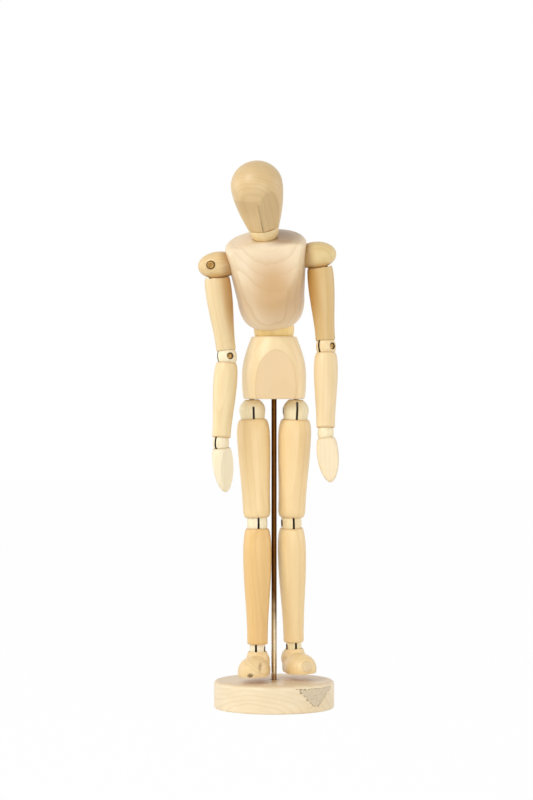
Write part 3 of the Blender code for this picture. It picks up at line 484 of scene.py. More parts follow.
def plug(tree, entry, value):
    if isinstance(value, Wire):
        tree.links.new(value.socket, entry)
    elif isinstance(value, bpy.types.NodeSocket):
        tree.links.new(value, entry)
    elif entry.type == "RGBA" and len(value) == 3:
        entry.default_value = (*value, 1.0)
    else:
        entry.default_value = value


def hypot(*wires):
    total = wires[0] * wires[0]
    for wire in wires[1:]:
        total = total + wire * wire
    return total ** 0.5


class Finish:
    """A material under way: its nodes, its pattern space and its shader."""

    def __init__(self, name):
        self.material = bpy.data.materials.new(name)
        self.material.use_nodes = True
        self.tree = self.material.node_tree
        self.shader = self.tree.nodes["Principled BSDF"]

    def node(self, kind, settings=None, **sockets):
        node = self.tree.nodes.new("ShaderNode" + kind)
        for name, value in (settings or {}).items():
            setattr(node, name, value)
        for name, value in sockets.items():
            plug(self.tree, node.inputs[name.replace("_", " ")], value)
        return node

    def wire(self, socket):
        return Wire(self.tree, socket)

    def local(self, place):
        """The three coordinates of a place's own frame, in millimetres."""
        coordinates = self.node("TexCoord")
        mapping = self.node(
            "Mapping", {"vector_type": "TEXTURE"}, Vector=coordinates.outputs["Object"],
            Location=place.translation, Rotation=place.to_euler(), Scale=(MM, MM, MM),
        )
        parts = self.node("SeparateXYZ", Vector=mapping.outputs[0])
        return tuple(self.wire(parts.outputs[i]) for i in range(3))

    def vector(self, x, y, z):
        return self.node("CombineXYZ", X=x, Y=y, Z=z).outputs[0]

    def noise(self, vector, scale, detail=2.0, roughness=0.5):
        texture = self.node("TexNoise", Vector=vector, Scale=scale, Detail=detail, Roughness=roughness)
        return self.wire(texture.outputs["Fac"])

    def mix(self, share, first, second):
        node = self.node("Mix", {"data_type": "RGBA"})
        plug(self.tree, node.inputs[0], share)
        plug(self.tree, node.inputs[6], first)
        plug(self.tree, node.inputs[7], second)
        return node.outputs[2]

    def bump(self, height, distance, strength=1.0):
        node = self.node("Bump", Height=height, Distance=distance, Strength=strength)
        self.set(Normal=node.outputs[0])

    def set(self, **sockets):
        for name, value in sockets.items():
            plug(self.tree, self.shader.inputs[name.replace("_", " ")], value)


def srgb(red, green, blue):
    """A colour as it is seen, 0 to 255, made linear."""
    return tuple(
        c / 12.92 if c <= 0.04045 else ((c + 0.055) / 1.055) ** 2.4
        for c in (red / 255, green / 255, blue / 255)
    )


# Wood

LINE = srgb(196, 150, 96)
# Colours of painted shade: dark brown for rivet holes and the face's ridge, near black for the slits
PAINTED_DARK_SHADE, SLIT_PAINTED_SHADE = srgb(86, 54, 26), srgb(30, 17, 6)


def toned(colour, red, green, blue):
    return (min(1.0, colour[0] * red), min(1.0, colour[1] * green), min(1.0, colour[2] * blue))


class Wood(Finish):
    """Limewood of one colour, with growth rings round a pith that runs beside the piece, along the grain."""

    def __init__(self, name, grain, colour, pith, ring, seed, contrast, lean=(0.0, 0.0), wander=1.0):
        super().__init__("lime_" + name)
        x, y, z = self.local(grain)
        drift = self.vector(x + 17.0 * seed, y - 9.0 * seed, z * 0.22 + 31.0 * seed)
        bend = self.noise(drift, 0.055, 2.0) - 0.5
        ripple = self.noise(drift, 0.35, 1.0) - 0.5
        beside = x - pith[0] + z * lean[0]
        behind = y - pith[1] + z * lean[1]
        radius = hypot(beside, behind) + bend * (1.9 * ring * wander) + ripple * 0.3
        self.build(drift, radius / ring, x, y, z, seed, colour, contrast)

    def build(self, drift, season, x, y, z, seed, colour, contrast):
        """Late wood closes each year's ring. Fibres, pores and slow clouds of colour lie over the rings."""
        light, deep = toned(colour, 1.05, 1.06, 1.09), toned(colour, 0.93, 0.89, 0.82)
        line = toned(colour, 0.76, 0.66, 0.52)
        part = season % 1.0
        late = part.between(0.50, 0.93) * part.between(1.0, 0.95)
        year = self.noise(self.vector(season * 0.61 + 5.0 * seed, 0.0, 0.0), 1.0, 0.0)
        late = late * year.between(0.30, 0.62)
        thread = self.noise(self.vector(x, y, z * 0.035 + seed), 2.6, 3.0, 0.6)
        pore = self.noise(self.vector(x, y, z * 0.16 - seed), 3.4, 1.0)
        cloud = self.noise(drift, 0.085, 3.0, 0.6)
        tone = (cloud - 0.5) * 1.5 + (part - 0.5) * 0.2 + 0.5
        shade = self.mix(tone.clamped(), light, deep)
        shade = self.mix((late * contrast).clamped(), shade, line)
        shade = self.mix(thread.between(0.50, 0.80) * 0.16, shade, line)
        self.colour = self.mix(pore.between(0.66, 0.76) * 0.12, shade, line)
        self.rough = 0.31 + thread * 0.12 - late * 0.05
        self.metal = 0.0
        self.height = thread * 0.5 - pore.between(0.64, 0.76) * 0.6 - late * 0.4

    def stain(self, share, colour):
        self.colour = self.mix(share.clamped(), self.colour, colour)

    def spot(self, space, centre, size, colour, strength, ragged=0.0, core=0.45):
        """A soft spot in a frame's own millimetres, such as a knot, a streak, a toe's end grain and the painted
        shade on the chest.
        """
        x, y, z = space
        away = hypot(*((c - m) / s for c, m, s in zip((x, y, z), centre, size)))
        if ragged:
            away = away + (self.noise(self.vector(x, y, z), 0.9, 2.0) - 0.5) * ragged
        self.stain(away.between(1.0, core) * strength, colour)

    def flat(self, space, point, normal, share, colour):
        """Darkens a sanded flat towards a colour: bare wood that goes deeper than the turned skin, and painted
        shade on the flat.
        """
        normal = Vector(normal).normalized()
        out = sum((c - p) * n for c, p, n in zip(space, point, normal))
        self.stain(out.between(-0.5, -0.06) * share, colour)

    def done(self):
        self.set(Base_Color=self.colour, Roughness=self.rough, Metallic=self.metal, Specular_IOR_Level=0.5)
        self.bump(self.height, 0.00005, 0.5)
        return self.material


# Each colour holds the piece's own tone and also painted light and shade, matched to how bright the piece looks
# where it stands: the hips, in shade under the pelvis, are made as pale as can be. The pelvis, chest and head
# below are coloured the same way
# node: colour, pith beside the piece, ring width, contrast of the late wood
GRAIN = {
    "waist": ((252, 224, 152), (14.0, 22.0), 2.6, 0.16),
    "neck": ((236, 211, 158), (-9.0, 16.0), 2.4, 0.16),
    "right_shoulder": ((231, 201, 146), (6.0, -14.0), 1.9, 0.26),
    "left_shoulder": ((236, 210, 152), (-9.0, 12.0), 1.8, 0.22),
    "right_upper_arm": ((237, 212, 162), (-21.0, 15.0), 2.3, 0.16),
    "left_upper_arm": ((223, 189, 128), (19.0, 20.0), 2.2, 0.18),
    "right_elbow": ((252, 238, 202), (-9.0, 10.0), 2.0, 0.16),
    "left_elbow": ((246, 220, 170), (12.0, 9.0), 2.1, 0.18),
    "right_forearm": ((246, 222, 172), (-18.0, 16.0), 2.4, 0.14),
    "left_forearm": ((246, 220, 171), (15.0, 22.0), 2.3, 0.15),
    "right_wrist": ((253, 236, 200), (10.0, 14.0), 1.8, 0.14),
    "left_wrist": ((253, 236, 196), (-12.0, 9.0), 1.8, 0.14),
    "right_hand": ((255, 240, 206), (7.0, 12.0), 1.9, 0.18),
    "left_hand": ((250, 230, 190), (-6.0, 13.0), 2.0, 0.18),
    "right_hip": ((255, 239, 200), (-10.0, 14.0), 2.1, 0.14),
    "left_hip": ((255, 239, 199), (9.0, 15.0), 2.2, 0.14),
    "right_thigh": ((250, 220, 164), (-24.0, 19.0), 2.7, 0.12),
    "left_thigh": ((252, 221, 166), (21.0, 24.0), 2.6, 0.13),
    "right_knee": ((253, 239, 202), (9.0, 11.0), 2.2, 0.12),
    "left_knee": ((250, 228, 178), (-8.0, 12.0), 2.2, 0.14),
    "right_shin": ((241, 200, 133), (-19.0, 22.0), 1.9, 0.14),
    "left_shin": ((255, 223, 167), (17.0, 20.0), 2.4, 0.14),
    "right_ankle": ((255, 239, 207), (7.0, 9.0), 2.0, 0.12),
    "left_ankle": ((255, 238, 194), (-7.0, 9.0), 2.0, 0.12),
}


def wood_for(node, grain=None):
    colour, pith, ring, contrast = GRAIN[node]
    seed = 1.0 + list(GRAIN).index(node)
    lean = (0.03 * math.sin(seed * 2.4), 0.03 * math.cos(seed * 1.7))
    return Wood(node, grain or PLACES[node], srgb(*colour), pith, ring, seed, contrast, lean)


def paint_slit_shade(wood, across, inside, low, high):
    """The walls and edge of a slit, painted black and metallic as shade. Across is the distance from its middle
    plane.
    """
    near = abs(across).between(SLIT + 0.30, SLIT + 0.10)
    level = inside.between(low - 0.2, low + 0.1) * inside.between(high + 0.5, high)
    wood.metal = near * level * 0.95
    wood.stain(wood.metal, SLIT_PAINTED_SHADE)


def paint_hole_shade(wood, first, second, along, hole):
    """Painted shade, dark and metallic, in a rivet's hole and a thin dark ring round it, on the side where along
    is positive.
    """
    away = hypot(first, second)
    dark = away.between(hole + 0.45, hole - 0.1) * along.between(0.5, 1.5) * 0.9
    wood.stain(dark, PAINTED_DARK_SHADE)
    wood.metal = dark.most(wood.metal)


def darken_rims(wood, height, ends, reach=1.1, strength=0.34):
    """A little darker where a turned end meets its neighbour."""
    for end in ends:
        wood.stain(abs(height - end).between(reach, 0.0) * strength, LINE)


# Stand

def base_piece():
    rim, foot = BASE_RADIUS - BASE_RIM, BASE_RADIUS - BASE_FOOT
    side, mouth, floor = BASE_HEIGHT - BASE_RIM, BASE_HOLE + 0.25, ROD_LOW - 0.2
    outline = (
        [(AXIS, floor), (BASE_HOLE, floor), (BASE_HOLE, BASE_HEIGHT - 0.2), (mouth, BASE_HEIGHT)]
        + straight((mouth, BASE_HEIGHT), (rim, BASE_HEIGHT), 24)
        + rounded((rim, BASE_HEIGHT), (BASE_RADIUS, side), True, 12)
        + straight((BASE_RADIUS, side), (BASE_RADIUS, BASE_FOOT), 10)
        + rounded((BASE_RADIUS, BASE_FOOT), (foot, 0.0), False, 6)
        + straight((foot, 0.0), (AXIS, 0.0), 12)
    )
    return turned("base", outline, 144)


class BaseWood(Wood):
    """A slice across a small log: arches of the rings on the front and a grey bark pocket."""

    def __init__(self):
        Finish.__init__(self, "base_lime")
        x, y, z = self.local(PLACES["base_disc"])
        along = x + 13.0 + (y + 33.0) * 0.35
        squeezed = along * 0.70 - abs(along) * 0.27
        drift = self.vector(squeezed * 1.4, y * 0.25 + 7.0, z * 1.2 + 3.0)
        wander = self.noise(drift, 0.07, 2.0) - 0.5
        season = (hypot(squeezed, z + 3.5) + wander * 3.6) / 2.35
        self.build(drift, season, x, z, y, 4.0, srgb(247, 228, 192), 0.22)
        self.stain(z.between(14.6, 15.5) * 0.55, srgb(216, 188, 150))
        self.stain(hypot(x, y).between(3.6, 2.2) * z.between(12.0, 15.2) * 0.85, srgb(146, 98, 46))
        self.stain(abs(z - 14.9).between(0.9, 0.2) * hypot(x, y).between(30.0, 32.0) * 0.22, LINE)
        self.bark(x, y, z)

    def bark(self, x, y, z):
        """A ragged pocket of grey bark below the rim, edged with brown where it begins."""
        ragged = (self.noise(self.vector(x, y, z), 0.30, 4.0, 0.65) - 0.5) * 7.0
        level = 13.3 - z + ragged * 0.16
        left = (x - 13.4) * 0.80 + (z - 13.7) * 0.58 + ragged
        right = (31.5 - x) * 0.80 + (z - 12.9) * 0.60 + ragged * 0.35
        below = z - 3.4 + ragged * 0.6
        inside = level.least(left).least(right).least(below) + y.between(-8.0, -12.0) * 30.0 - 30.0
        crust = self.noise(self.vector(x, y, z), 1.3, 4.0, 0.7)
        grey = self.mix(crust.between(0.3, 0.7), srgb(228, 212, 184), srgb(184, 166, 134))
        patch = inside.between(-0.2, 0.4)
        self.colour = self.mix(patch * 0.66, self.colour, grey)
        edge = inside.between(-0.45, 0.0) * inside.between(0.7, 0.1)
        wear_and_reflection = self.noise(self.vector(x, y, z), 0.6, 2.0).between(0.32, 0.58)
        early = x.between(27.0, 17.0) * 0.45 + 0.35
        self.stain(edge * wear_and_reflection * early, srgb(128, 98, 58))
        self.height = self.height - patch * (crust * 1.8 + 1.0)


def rod_piece():
    wall = straight((ROD_RADIUS, ROD_LOW), (ROD_RADIUS, ROD_HIGH), 40)
    top = ROD_HIGH + ROD_ROUND
    end = rounded((ROD_RADIUS, ROD_HIGH), (ROD_RADIUS - ROD_ROUND, top), False, 5)
    return turned("rod", [(AXIS, ROD_LOW), (ROD_RADIUS, ROD_LOW)] + wall + end + [(AXIS, top)], 48)


def rod_steel():
    steel = Finish("rod_steel")
    x, y, z = steel.local(PLACES["support_rod"])
    drawn = steel.noise(steel.vector(x * 3.0, y * 3.0, z * 0.04), 2.2, 3.0, 0.6)
    cloud = steel.noise(steel.vector(x * 0.3, y * 0.3, z), 0.09, 3.0)
    # Painted reflection: dark brown high up and pale lower down, where the rod would mirror the pale base and
    # legs. Just above the base it turns brown
    wear_and_reflection = (z + (cloud - 0.5) * 26.0 + x * 5.0).between(66.0, 40.0)
    dark = steel.mix(cloud, srgb(66, 36, 6), srgb(94, 56, 14))
    bright = steel.mix(drawn, srgb(178, 156, 118), srgb(206, 190, 158))
    colour = steel.mix(wear_and_reflection, dark, bright)
    colour = steel.mix(z.between(20.5, 17.5) * 0.8, colour, srgb(120, 74, 28))
    steel.set(Base_Color=colour, Roughness=0.26 + drawn * 0.16, Metallic=0.95)
    steel.bump(drawn, 0.00002, 0.4)
    return steel.material


# Trunk

def front_flat(low, high, height, rise):
    """The plane of a flat on the front: how far before the axis it starts, at a height, and ends."""
    return Vector((0.0, -low, height)), RIGHT.cross(Vector((0.0, low - high, rise)))


PELVIS_FLAT = front_flat(13.2, 16.1, 0.0, PELVIS_HEIGHT)
CHEST_FLAT = front_flat(24.0, 9.5, WAIST_GAP, 50.1)


def hip_bore():
    """The cutter for a hip's spigot and for the spring above it."""
    step, top = HIP_SPIGOT_TOP - FIT, HIP_SPRING_TOP
    outline = [
        (AXIS, top), (SPRING_BORE, top), (SPRING_BORE, step),
        (SPIGOT_BORE, step), (SPIGOT_BORE, 0.0), (AXIS, 0.0),
    ]
    return turned("bore", outline, 40)


def pelvis_piece():
    waist = PELVIS_HEIGHT + WAIST_GAP
    spring_end = waist - WAIST_SPRING
    deep = steepness_of(SPRING_BORE, WAIST_CUP)
    edge, mouth = PELVIS_FOOT - 0.5, ROD_BORE + 0.1
    outline = (
        [(AXIS, spring_end), (SPRING_BORE, spring_end)]
        + arc(WAIST_CUP, waist, -deep, -tilt_of(WAIST_GAP, WAIST_CUP), 14)
        + [(WAIST_RIM + 0.3, PELVIS_TOP[1] + 0.02), PELVIS_TOP]
        + curve(PELVIS_TOP, PELVIS_BELLY, 40, quick, even)
        + rounded(PELVIS_BELLY, (PELVIS_FOOT, 0.5), False, 22)
        + [(PELVIS_FOOT - 0.15, 0.12), (edge, 0.0)]
        + straight((edge, 0.0), (mouth, 0.0), 12)
        + [(ROD_BORE, 0.1), (ROD_BORE, ROD_BORE_END), (AXIS, ROD_BORE_END)]
    )
    piece = turned("pelvis", outline, 144)
    sand(piece, *PELVIS_FLAT, 0.12)
    inward = PLACES["pelvis"].inverted()
    for side_name in SIDES:
        cut(piece, moved(pattern(hip_bore), inward @ PLACES[side_name + "_hip"]))
    return piece


def ball_piece(radius, top=None):
    """A bored ball. With a top, it is turned flat at that height."""
    half = steepness_of(BALL_BORE, radius)
    start = half if top is None else tilt_of(top, radius)
    outside = arc(radius, 0.0, start, -half, 40)
    ball = turned("ball", [(AXIS, outside[0][1])] + outside + [(AXIS, outside[-1][1])], 96)
    return cut(ball, peg(BALL_BORE, -radius * 2, radius * 2, Matrix.Identity(4), 48))


def chest_piece():
    waist_deep = steepness_of(SPRING_BORE, WAIST_CUP)
    neck_deep = steepness_of(SPRING_BORE, NECK_CUP)
    mouth, spring_end = NECK_HEIGHT - NECK_GAP, NECK_HEIGHT - NECK_SPRING
    crown = []
    for i, (radius, height) in enumerate(straight((NECK_RIM, mouth), CHEST_TOP, 16), 1):
        crown.append((radius, height + CHEST_CROWN * (1 - (i / 8 - 1) ** 2)))
    outline = (
        [(AXIS, spring_end), (SPRING_BORE, spring_end)]
        + arc(NECK_CUP, NECK_HEIGHT, -neck_deep, -tilt_of(NECK_GAP, NECK_CUP), 10)
        + crown
        + rounded(CHEST_TOP, CHEST_WIDEST, True, 16)
        + straight(CHEST_WIDEST, CHEST_NARROW, 44)
        + rounded(CHEST_NARROW, (WAIST_RIM + LAND, WAIST_GAP), False, 30)
        + arc(WAIST_CUP, 0.0, tilt_of(WAIST_GAP, WAIST_CUP), waist_deep, 14)
        + [(SPRING_BORE, WAIST_SPRING), (AXIS, WAIST_SPRING)]
    )
    piece = turned("chest", outline, 144)
    sand(piece, *CHEST_FLAT, 0.9)
    across = shift(z=SHOULDER_HEIGHT) @ about("Y", 90.0)
    cut(piece, peg(SPRING_BORE, -2 * BEYOND, 2 * BEYOND, across))
    for side in SIDES.values():
        place = shift(x=side * SHOULDER_REACH, z=SHOULDER_HEIGHT) @ about("Y", 90.0 * side)
        cut(piece, moved(pattern(shoulder_socket), place))
    return piece


def face_normal(side):
    """The face has two flats, which meet at a ridge from the chin to the brow."""
    ridge = (BROW - CHIN).normalized()
    ahead = leaned(FRONT, UP, FACE_TURN * side)
    return ahead - ridge * ahead.dot(ridge)


def head_piece():
    def cheek(share):
        return 0.5 * slow(share) + 0.5 * share ** 1.6

    crown = HEAD_WIDEST[1] + HEAD_CROWN
    outline = (
        [(AXIS, crown)]
        + rounded((0.0, crown), HEAD_WIDEST, True, 28)
        + curve(HEAD_WIDEST, HEAD_RIM, 50, cheek, even)
        + straight(HEAD_RIM, (SPRING_BORE, HEAD_RIM[1]), 5)
        + [(SPRING_BORE, NECK_SPRING), (AXIS, NECK_SPRING)]
    )
    piece = turned("head", outline, 144)
    for side in SIDES.values():
        sand(piece, CHIN, face_normal(side), 0.14)
    return piece


# Arms

def egg_outline(grow):
    """The shoulder from its tip to its inner face, grown for the socket that it turns in."""
    middle, length = EGG_TIP - EGG_HALF, EGG_HALF + grow
    last = math.acos((EGG_FACE - grow - middle) / length)
    turns = [last * i / 36 for i in range(37)]
    return [(max(AXIS, (EGG_RADIUS + grow) * math.sin(a)), middle + length * math.cos(a)) for a in turns]


def shoulder_socket():
    egg = egg_outline(FIT)
    return turned("socket", egg + [(AXIS, egg[-1][1])])


def shoulder_blank():
    spring_end = EGG_FACE + EGG_SPRING
    bore = [(SPRING_BORE, EGG_FACE), (SPRING_BORE, spring_end), (AXIS, spring_end)]
    return turned("shoulder", egg_outline(0.0) + bore)


def shoulder_rivet_turn(side):
    return about("Z", -90.0) @ about("Y", -90.0 * side)


def shoulder_piece(side):
    piece = moved(pattern(shoulder_blank), about("Y", 90.0 * side))
    inner, outer = sorted((-side * SLIT_ROOF, side * BEYOND))
    cut(piece, block((inner, -SLIT, -BEYOND), (outer, SLIT, SLIT_ROOF)))
    return drill_for_rivet(piece, EGG_RADIUS, SHOULDER_HOLE, shoulder_rivet_turn(side))


def upper_arm_blank():
    end = -UPPER_ARM + ELBOW.half
    top, belly = (6.7, -7.2), (UPPER_ARM_BELLY, -UPPER_ARM * ARM_WIDEST)
    slim_top = [(AXIS, -1.0), (5.4, -1.0), (5.95, -2.8), (6.3, -4.6), (6.54, -6.0)]
    flank = limb_side(top, belly, (UPPER_ARM_END, end + 0.8), (ELBOW.rim, end))
    return turned("upper_arm", slim_top + flank + ELBOW.cup_above(UPPER_ARM, end))


def upper_arm_piece(side_name):
    """Its top is hollowed round the pin, and once more by the shoulder as it lies at rest."""
    side = SIDES[side_name]
    piece = moved(pattern(upper_arm_blank), shift(x=-side * ARM_INWARD))
    shoulder = PLACES[side_name + "_upper_arm"].inverted() @ PLACES[side_name + "_shoulder"]
    crosswise, saddle = about("X", 90.0), EGG_RADIUS + FIT
    widened = Matrix.Diagonal(((EGG_HALF + FIT) / saddle, 1, 1, 1))
    egg = shift(x=side * (EGG_TIP - EGG_HALF)) @ widened
    cut(piece, peg(EGG_RADIUS, -BEYOND, BEYOND, crosswise, 96))
    cut(piece, peg(saddle, -BEYOND, BEYOND, shoulder @ egg @ crosswise, 96))
    low = -EGG_RADIUS - LINK_SEAT - FIT
    return cut(piece, block((-LINK_HALF, -SLIT, low), (LINK_HALF, SLIT, 0.0)))


def mortise(piece, cup, seat=LINK_SEAT):
    """The slot that a link is set in, below a cup."""
    return cut(piece, block((-SLIT, -LINK_HALF, -cup - seat - FIT), (SLIT, LINK_HALF, 0.0)))


def barrel_piece(kind):
    """A slit barrel with the head of its rivet on the side of +X."""
    barrel = BARRELS[kind]
    piece = turned(kind, barrel.outline())
    cut(piece, block((-SLIT, -BEYOND, -BEYOND), (SLIT, BEYOND, barrel.half)))
    return drill_for_rivet(piece, barrel.radius, barrel.hole, about("Y", 90.0))


def forearm_piece():
    end = -FOREARM + WRIST.half
    top, belly = (ELBOW.rim, -ELBOW.half), (FOREARM_BELLY, -FOREARM * ARM_WIDEST)
    flank = limb_side(top, belly, (FOREARM_END, end + 0.6), (FOREARM_END - 0.4, end))
    outline = ELBOW.cup_below() + flank + WRIST.cup_above(FOREARM, end)
    return mortise(turned("forearm", outline), ELBOW.cup)


def hand_piece():
    top, belly = (WRIST.rim, -WRIST.half), (HAND_BELLY, -HAND * HAND_WIDEST)
    leaf = curve(belly, (0.0, -HAND), 30, lambda share: 1 - (1 - slow(share)) ** 1.15, quick)
    outline = WRIST.cup_below() + [top] + rounded(top, belly, True, 18) + leaf[:-1] + [(AXIS, -HAND)]
    piece = turned("hand", outline, 96)
    lean = (HAND_THICK - HAND_TIP) / 2 / (HAND - WRIST.half)
    for face in (-1, 1):
        sand(piece, (face * HAND_THICK / 2, 0.0, -WRIST.half), (face, 0.0, -lean), 0.3)
    return mortise(piece, WRIST.cup)


# Legs

def hip_blank():
    edge = arc(HIP_RADIUS, 0.0, tilt_of(HIP_FLAT, HIP_RADIUS), 0.0, 16)
    flat, top = edge[0][0], HIP_SPIGOT_TOP
    outline = (
        [(AXIS, top), (SPIGOT - 0.3, top), (SPIGOT, top - 0.3), (SPIGOT, HIP_FLAT)]
        + [(flat - 0.3, HIP_FLAT), (flat, HIP_FLAT - 0.1)]
        + edge[1:]
        + straight((HIP_RADIUS, 0.0), (HIP_EDGE, -HIP_DROP), 6)
        + arc(HIP_BALL, 0.0, -tilt_of(HIP_DROP, HIP_BALL), -90.0, 10)
    )
    return turned("hip", outline)


def hip_piece(side_name):
    piece = pattern(hip_blank)
    cut(piece, block((-SLIT, -BEYOND, -BEYOND), (SLIT, BEYOND, HIP_SLIT_TOP[side_name])))
    return drill_for_rivet(piece, HIP_RADIUS, HIP_HOLE, about("Y", -90.0 * SIDES[side_name]))


def thigh_blank():
    end = -THIGH + KNEE.half
    top, belly = (HIP_RIM, -HIP_DROP), (THIGH_BELLY, -THIGH * THIGH_WIDEST)
    lower = (THIGH_END, -THIGH * THIGH_TAPER)
    outline = (
        arc(HIP_CUP, 0.0, -90.0, -tilt_of(HIP_DROP, HIP_CUP), 10)
        + [top]
        + rounded(top, belly, True, 16)
        + eased(belly, lower, 26)
        + rounded(lower, (KNEE.rim, end), False, 14)
        + arc(KNEE.cup, -THIGH, tilt_of(KNEE.half, KNEE.cup), 90.0, 10)
    )
    return mortise(turned("thigh", outline), HIP_CUP)


def thigh_piece(side_name):
    knee = PLACES[side_name + "_thigh"].inverted() @ PLACES[side_name + "_knee"]
    return cut(pattern(thigh_blank), peg(SPIGOT_BORE, 0.0, KNEE.ball + SPIGOT_LENGTH + FIT, knee))


def shin_piece():
    end = -SHIN + ANKLE.half
    top, belly = (KNEE.rim, -KNEE.half), (SHIN_BELLY, -SHIN * SHIN_WIDEST)
    flank = limb_side(top, belly, (SHIN_END, end + 0.6), (SHIN_END - 0.4, end))
    outline = KNEE.cup_below() + flank + ANKLE.cup_above(SHIN, end)
    return mortise(turned("shin", outline), KNEE.cup)


def foot_piece():
    """A rounded toe, a collar round the ankle and a round heel, carved from one piece."""
    toe_start, heel = TOE_TIP - TOE_LENGTH, HEEL_END - HEEL_RADIUS
    toe = [(AXIS, TOE_TIP)] + rounded((0.0, TOE_TIP), (TOE_RADIUS, toe_start), True, 24)
    instep = eased((TOE_RADIUS, toe_start), (INSTEP, 0.0), 14)
    outline = toe + instep + [(3.4, -heel / 2), (AXIS, -heel)]
    piece = moved(turned("foot", outline, 64), shift(z=-FOOT_MIDDLE) @ about("X", 90.0))
    ball = turned("heel", arc(HEEL_RADIUS, 0.0, 90.0, -90.0, 30), 48)
    taller = Matrix.Diagonal((1, 1, HEEL_HALF / HEEL_RADIUS, 1))
    combine(piece, moved(ball, shift(y=heel, z=HEEL_HALF - HEEL_BOTTOM) @ taller), "UNION")
    collar = [(AXIS, -1.1), (5.05, -1.1), (5.3, -1.6), (5.8, -3.2), (6.5, -5.0), (6.9, -8.0), (AXIS, -8.0)]
    combine(piece, turned("collar", collar, 64), "UNION")
    carve = piece.modifiers.new("carve", "REMESH")
    carve.mode, carve.voxel_size = "VOXEL", CARVING_GRID * MM
    smooth = piece.modifiers.new("smooth", "SMOOTH")
    smooth.factor, smooth.iterations = 0.5, 8
    select_only(piece)
    for modifier in ("carve", "smooth"):
        bpy.ops.object.modifier_apply(modifier=modifier)
    cut(piece, turned("cup", arc(ANKLE.cup - 0.15, 0.0, 90.0, -90.0, 28), 64))
    far = 2 * BEYOND
    cut(piece, block((-far, -far, -far), (far, far, -SOLE)))
    return mortise(piece, ANKLE.cup, FOOT_SEAT)


# Building

# Tones put on the wood in places. The knot, the streak and the toe's rings are the wood's own; the rest are
# painted shade and shadow, some over the wood's own tone
PELVIS_BARE_AND_SHADE, FACE_BARE_AND_SHADE = srgb(226, 190, 140), srgb(170, 144, 96)
CHEST_WARM_AND_SHADE, CHEST_TOP_GRAIN_AND_SHADOW, BROW_PAINTED_SHADE = srgb(202, 154, 90), srgb(150, 110, 66), srgb(176, 138, 84)
EGG_PAINTED_SHADOW, ARM_PAINTED_SHADE = srgb(150, 96, 24), srgb(180, 120, 28)
KNOT, STREAK = srgb(104, 76, 40), srgb(158, 112, 60)
TOE_RING, TOE_HEART = srgb(206, 168, 112), srgb(236, 213, 172)


def build_stand():
    finish(base_piece(), "base_disc", BaseWood().done())
    finish(rod_piece(), "support_rod", rod_steel())


def build_pelvis():
    place = PLACES["pelvis"]
    wood = Wood("pelvis", place, srgb(250, 228, 181), (3.0, 26.0), 3.1, 40.0, 0.14, (0.0, -0.05))
    x, y, z = wood.local(place)
    # The front flat is darker: bare wood and painted shade
    wood.flat((x, y, z), *PELVIS_FLAT, 0.58, PELVIS_BARE_AND_SHADE)
    darken_rims(wood, z, (PELVIS_HEIGHT, 0.0), 1.0, 0.30)
    finish(pelvis_piece(), "pelvis", wood.done())


def build_chest():
    place = PLACES["chest"]
    wood = Wood("chest", place, srgb(246, 225, 190), (1.5, 20.6), 2.0, 41.0, 0.34, wander=1.2)
    x, y, z = wood.local(place)
    # A warmer, darker middle on the front: its own tone and painted shade
    wood.spot((x, y, z), (2.0, -16.0, 29.0), (21.0, 16.0, 31.0), CHEST_WARM_AND_SHADE, 0.82, core=0.1)
    # The top is a little darker all round as end grain, and much darker right of the neck: painted shadow of the
    # head
    wood.stain(z.between(51.0, 54.0) * (x.between(-2.0, 9.0) * 0.58 + 0.13), CHEST_TOP_GRAIN_AND_SHADOW)
    darken_rims(wood, z, (WAIST_GAP,), 1.4, 0.25)
    finish(chest_piece(), "chest", wood.done())


def build_head():
    place = PLACES["head"]
    wood = Wood("head", place, srgb(223, 193, 142), (4.0, 26.0), 1.6, 42.0, 0.25, (0.0, 0.35), 0.9)
    x, y, z = wood.local(place)
    # A dark line of painted shade along the ridge where the two flats of the face meet
    ridge = abs(x).between(0.6, 0.15) * z.between(1.3, 2.0) * z.between(20.6, 18.5) * y.between(0.0, -3.0)
    wood.stain(ridge * (z.between(13.0, 3.0) * 0.26 + 0.32), PAINTED_DARK_SHADE)
    # Painted shade in a band below the brow, on one side of the face
    below_brow = x.between(2.5, -2.0) * z.between(8.0, 19.5) * z.between(22.4, 21.2) * y.between(3.0, -3.0)
    wood.stain(below_brow * 0.26, BROW_PAINTED_SHADE)
    # One flat of the face is darker and greyer, more so towards the brow: bare wood and painted shade
    wood.flat((x, y, z), CHIN, face_normal(1), z.between(-12.0, 18.0) * 0.24, FACE_BARE_AND_SHADE)
    darken_rims(wood, z, (HEAD_RIM[1],), 0.7, 0.2)
    finish(head_piece(), "head", wood.done())


def build_trunk():
    build_pelvis()
    finish(ball_piece(WAIST_BALL), "waist", wood_for("waist").done())
    finish(ball_piece(NECK_BALL, NECK_TOP), "neck", wood_for("neck").done())
    build_chest()
    build_head()


def build_rivet(node, reach, wide, place):
    finish(pattern(rivet, reach, wide), node + "_pin", STEELS["pin"], place)


def build_barrel(node, kind, head_side):
    """A barrel and its rivet. Both are turned half round where the head faces the other way."""
    barrel, place = BARRELS[kind], PLACES[node]
    wood = wood_for(node)
    x, y, z = wood.local(place)
    # Painted shade in the slit and in the rivet's hole
    paint_slit_shade(wood, x, -z, -barrel.half, barrel.ball)
    paint_hole_shade(wood, y, z, x * head_side, barrel.hole)
    facing = place if head_side > 0 else place @ about("Z", 180.0)
    finish(pattern(barrel_piece, kind), node, wood.done(), facing)
    build_rivet(node, barrel.radius, RIVET_HEAD, facing @ about("Y", 90.0))


def build_limb(node, piece, ends):
    """A limb, or a hand, a little darker at its rims."""
    wood = wood_for(node)
    darken_rims(wood, wood.local(PLACES[node])[2], ends)
    finish(piece, node, wood.done())


